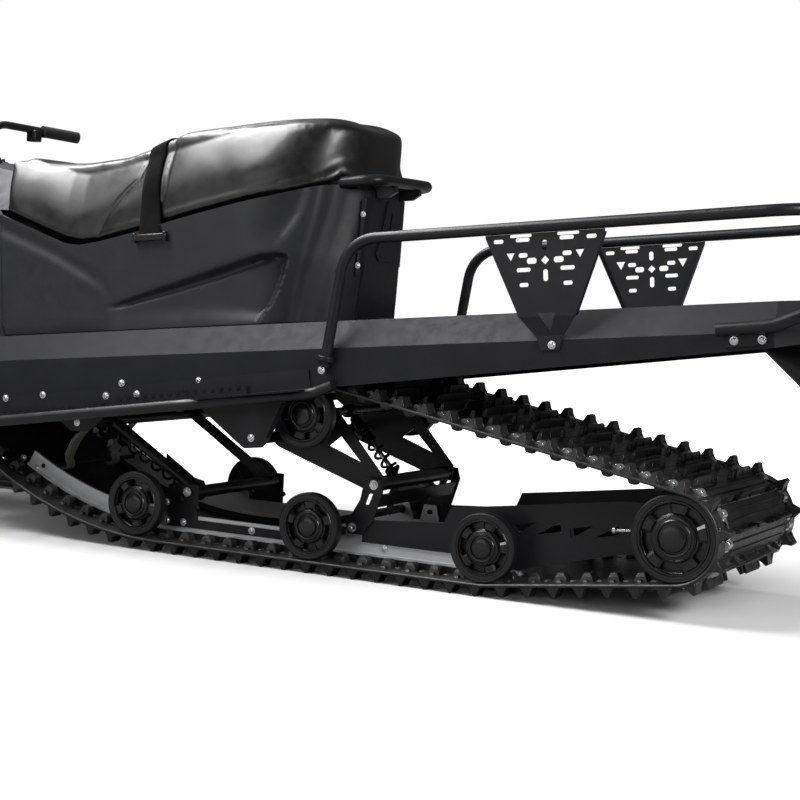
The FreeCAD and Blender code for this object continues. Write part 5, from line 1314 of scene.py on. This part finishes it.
levers, clamps = [], []
for side in (-1, 1):
    outer = np.array([-905.0, side * 350, 1083])
    inner = np.array([-938.0, side * 232, 1076])
    line = strap_line([inner, (inner + outer) / 2 + [-34, 0, 2], outer + [-34, 0, -2]], 8)
    levers.append(tube(from_row(line), 4.6 * MM, reference=(0, 0, 1)))
    clamps.append(block(inner[0] - 22, inner[0] + 12, inner[1] - 16, inner[1] + 16, 1060, 1094))
surface("bar_levers", joined(*levers), "powder_coated_steel", "steering")
clamps = surface("bar_clamps", scaled(joined(*clamps)), "powder_coated_steel", "steering")
bevelled(clamps, 0.004, 3)

# %% [markdown]
# ## Studio
# The machine is black on white, so most of what shows is reflected light. The floor is dim to
# everything but the camera and, in part, to reflections, so it throws little light back up
# and still keeps the soft shadow. Far off it glows a little to the camera, so that no horizon
# shows.

# %% Floor
FLOOR_GAIN = 0.8


def floor_plane():
    """A large pale floor that belongs to the stage."""
    mesh = bpy.data.meshes.new("floor")
    half = 40
    corners = [(-half, -half, 0), (half, -half, 0), (half, half, 0), (-half, half, 0)]
    mesh.from_pydata(corners, [], [(0, 1, 2, 3)])
    floor = bpy.data.objects.new("floor", mesh)
    bpy.context.scene.collection.objects.link(floor)
    look = bpy.data.materials.new("studio_floor")
    tree = node_tree(look)
    path = add(tree, "ShaderNodeLightPath").outputs
    seen = path["Is Camera Ray"]
    mirrored = add(tree, "ShaderNodeMath", {0: path["Is Glossy Ray"], 1: 0.35}, 0, operation="MULTIPLY")
    either = add(tree, "ShaderNodeMath", {0: seen, 1: mirrored}, 0, operation="MAXIMUM")
    tone = add(tree, "ShaderNodeMapRange", {"Value": either, "To Min": 0.16, "To Max": FLOOR_GAIN}, "Result")
    place = add(tree, "ShaderNodeTexCoord", out="Object")
    away = add(tree, "ShaderNodeVectorMath", {0: place}, "Value", operation="LENGTH")
    rising = add(tree, "ShaderNodeMapRange", {
        "Value": away, "From Min": 1.6, "From Max": 3.2, "To Max": 1.2}, "Result")
    glow = add(tree, "ShaderNodeMath", {0: rising, 1: seen}, 0, operation="MULTIPLY")
    matt = add(tree, "ShaderNodeBsdfDiffuse", {"Color": tone, "Roughness": 1.0}, 0)
    light = add(tree, "ShaderNodeEmission", {"Strength": glow}, 0)
    both = add(tree, "ShaderNodeAddShader", {0: matt, 1: light}, 0)
    add(tree, "ShaderNodeOutputMaterial", {"Surface": both})
    mesh.materials.append(look)


floor_plane()

# %% [markdown]
# One wide soft box overhead draws the tops of tubes and edges, two dim panels fill the seat
# and the side, and a small one behind lights the track's return.

# %% Soft lights
def area_light(name, place, aim, power, width, height=None):
    """A rectangular soft light at place, pointed at aim."""
    data = bpy.data.lights.new(name, "AREA")
    data.shape = "RECTANGLE"
    data.size = width
    data.size_y = height or width
    data.energy = power
    lamp = bpy.data.objects.new(name, data)
    lamp.location = place
    lamp.rotation_euler = (Vector(aim) - Vector(place)).to_track_quat("-Z", "Y").to_euler()
    bpy.context.scene.collection.objects.link(lamp)


area_light("overhead", (-1.5, -0.55, 3.4), (0.1, -0.05, 0.4), 310, 4.0, 1.7)
area_light("front_left", (-2.3, -2.3, 2.9), (-0.2, -0.2, 0.8), 20, 1.7)
area_light("camera_left", (-1.2, -4.8, 1.2), (0.2, 0.0, 0.6), 22, 3.4, 1.6)
area_light("rear_edge", (3.6, -1.3, 1.9), (0.9, 0.0, 0.4), 70, 1.2)

# %% [markdown]
# The world is the white backdrop. It is seen at full strength, and lights the machine only a
# little, because a bright one would turn black paint grey.

# %% World
def world():
    """White to the camera and through glass; much dimmer as a source of light."""
    made = bpy.data.worlds.new("studio")
    tree = node_tree(made)
    path = add(tree, "ShaderNodeLightPath").outputs
    seen = add(tree, "ShaderNodeMath", {0: path["Is Camera Ray"], 1: path["Is Transmission Ray"]}, 0,
               operation="MAXIMUM")
    white = add(tree, "ShaderNodeBackground", {"Color": (1, 1, 1, 1), "Strength": 1.0}, 0)
    soft = add(tree, "ShaderNodeBackground", {"Color": (1, 1, 1, 1), "Strength": 0.09}, 0)
    mixed = add(tree, "ShaderNodeMixShader", {0: seen, 1: soft, 2: white}, 0)
    add(tree, "ShaderNodeOutputWorld", {"Surface": mixed})
    bpy.context.scene.world = made


world()

# %% [markdown]
# ## Camera
# A long lens looks from the left rear quarter, from a little above the deck, with a slight
# roll. A Track To constraint could aim it, but heading, dip and roll say it in three numbers.

# %% Camera and close
def camera(place, yaw, pitch, roll, lens):
    """A camera at place, turned by its heading, its dip and its roll in degrees."""
    yaw, pitch, roll = np.radians([yaw, pitch, roll])
    ahead = Vector((-math.sin(yaw) * math.cos(pitch), math.cos(yaw) * math.cos(pitch), -math.sin(pitch)))
    right = ahead.cross(Vector((0, 0, 1))).normalized()
    up = right.cross(ahead)
    turned_right = right * math.cos(roll) + up * math.sin(roll)
    turned_up = up * math.cos(roll) - right * math.sin(roll)
    data = bpy.data.cameras.new("camera")
    data.sensor_width = 36
    data.lens = lens
    data.clip_end = 100
    made = bpy.data.objects.new("camera", data)
    axes = Matrix((turned_right, turned_up, -ahead)).transposed().to_4x4()
    made.matrix_world = Matrix.Translation(place) @ axes
    bpy.context.scene.collection.objects.link(made)
    bpy.context.scene.camera = made


camera((2.49727, -3.98407, 0.71079), yaw=27.41, pitch=3.82, roll=2.91, lens=80.99)
bpy.context.scene.view_settings.view_transform = "Standard"
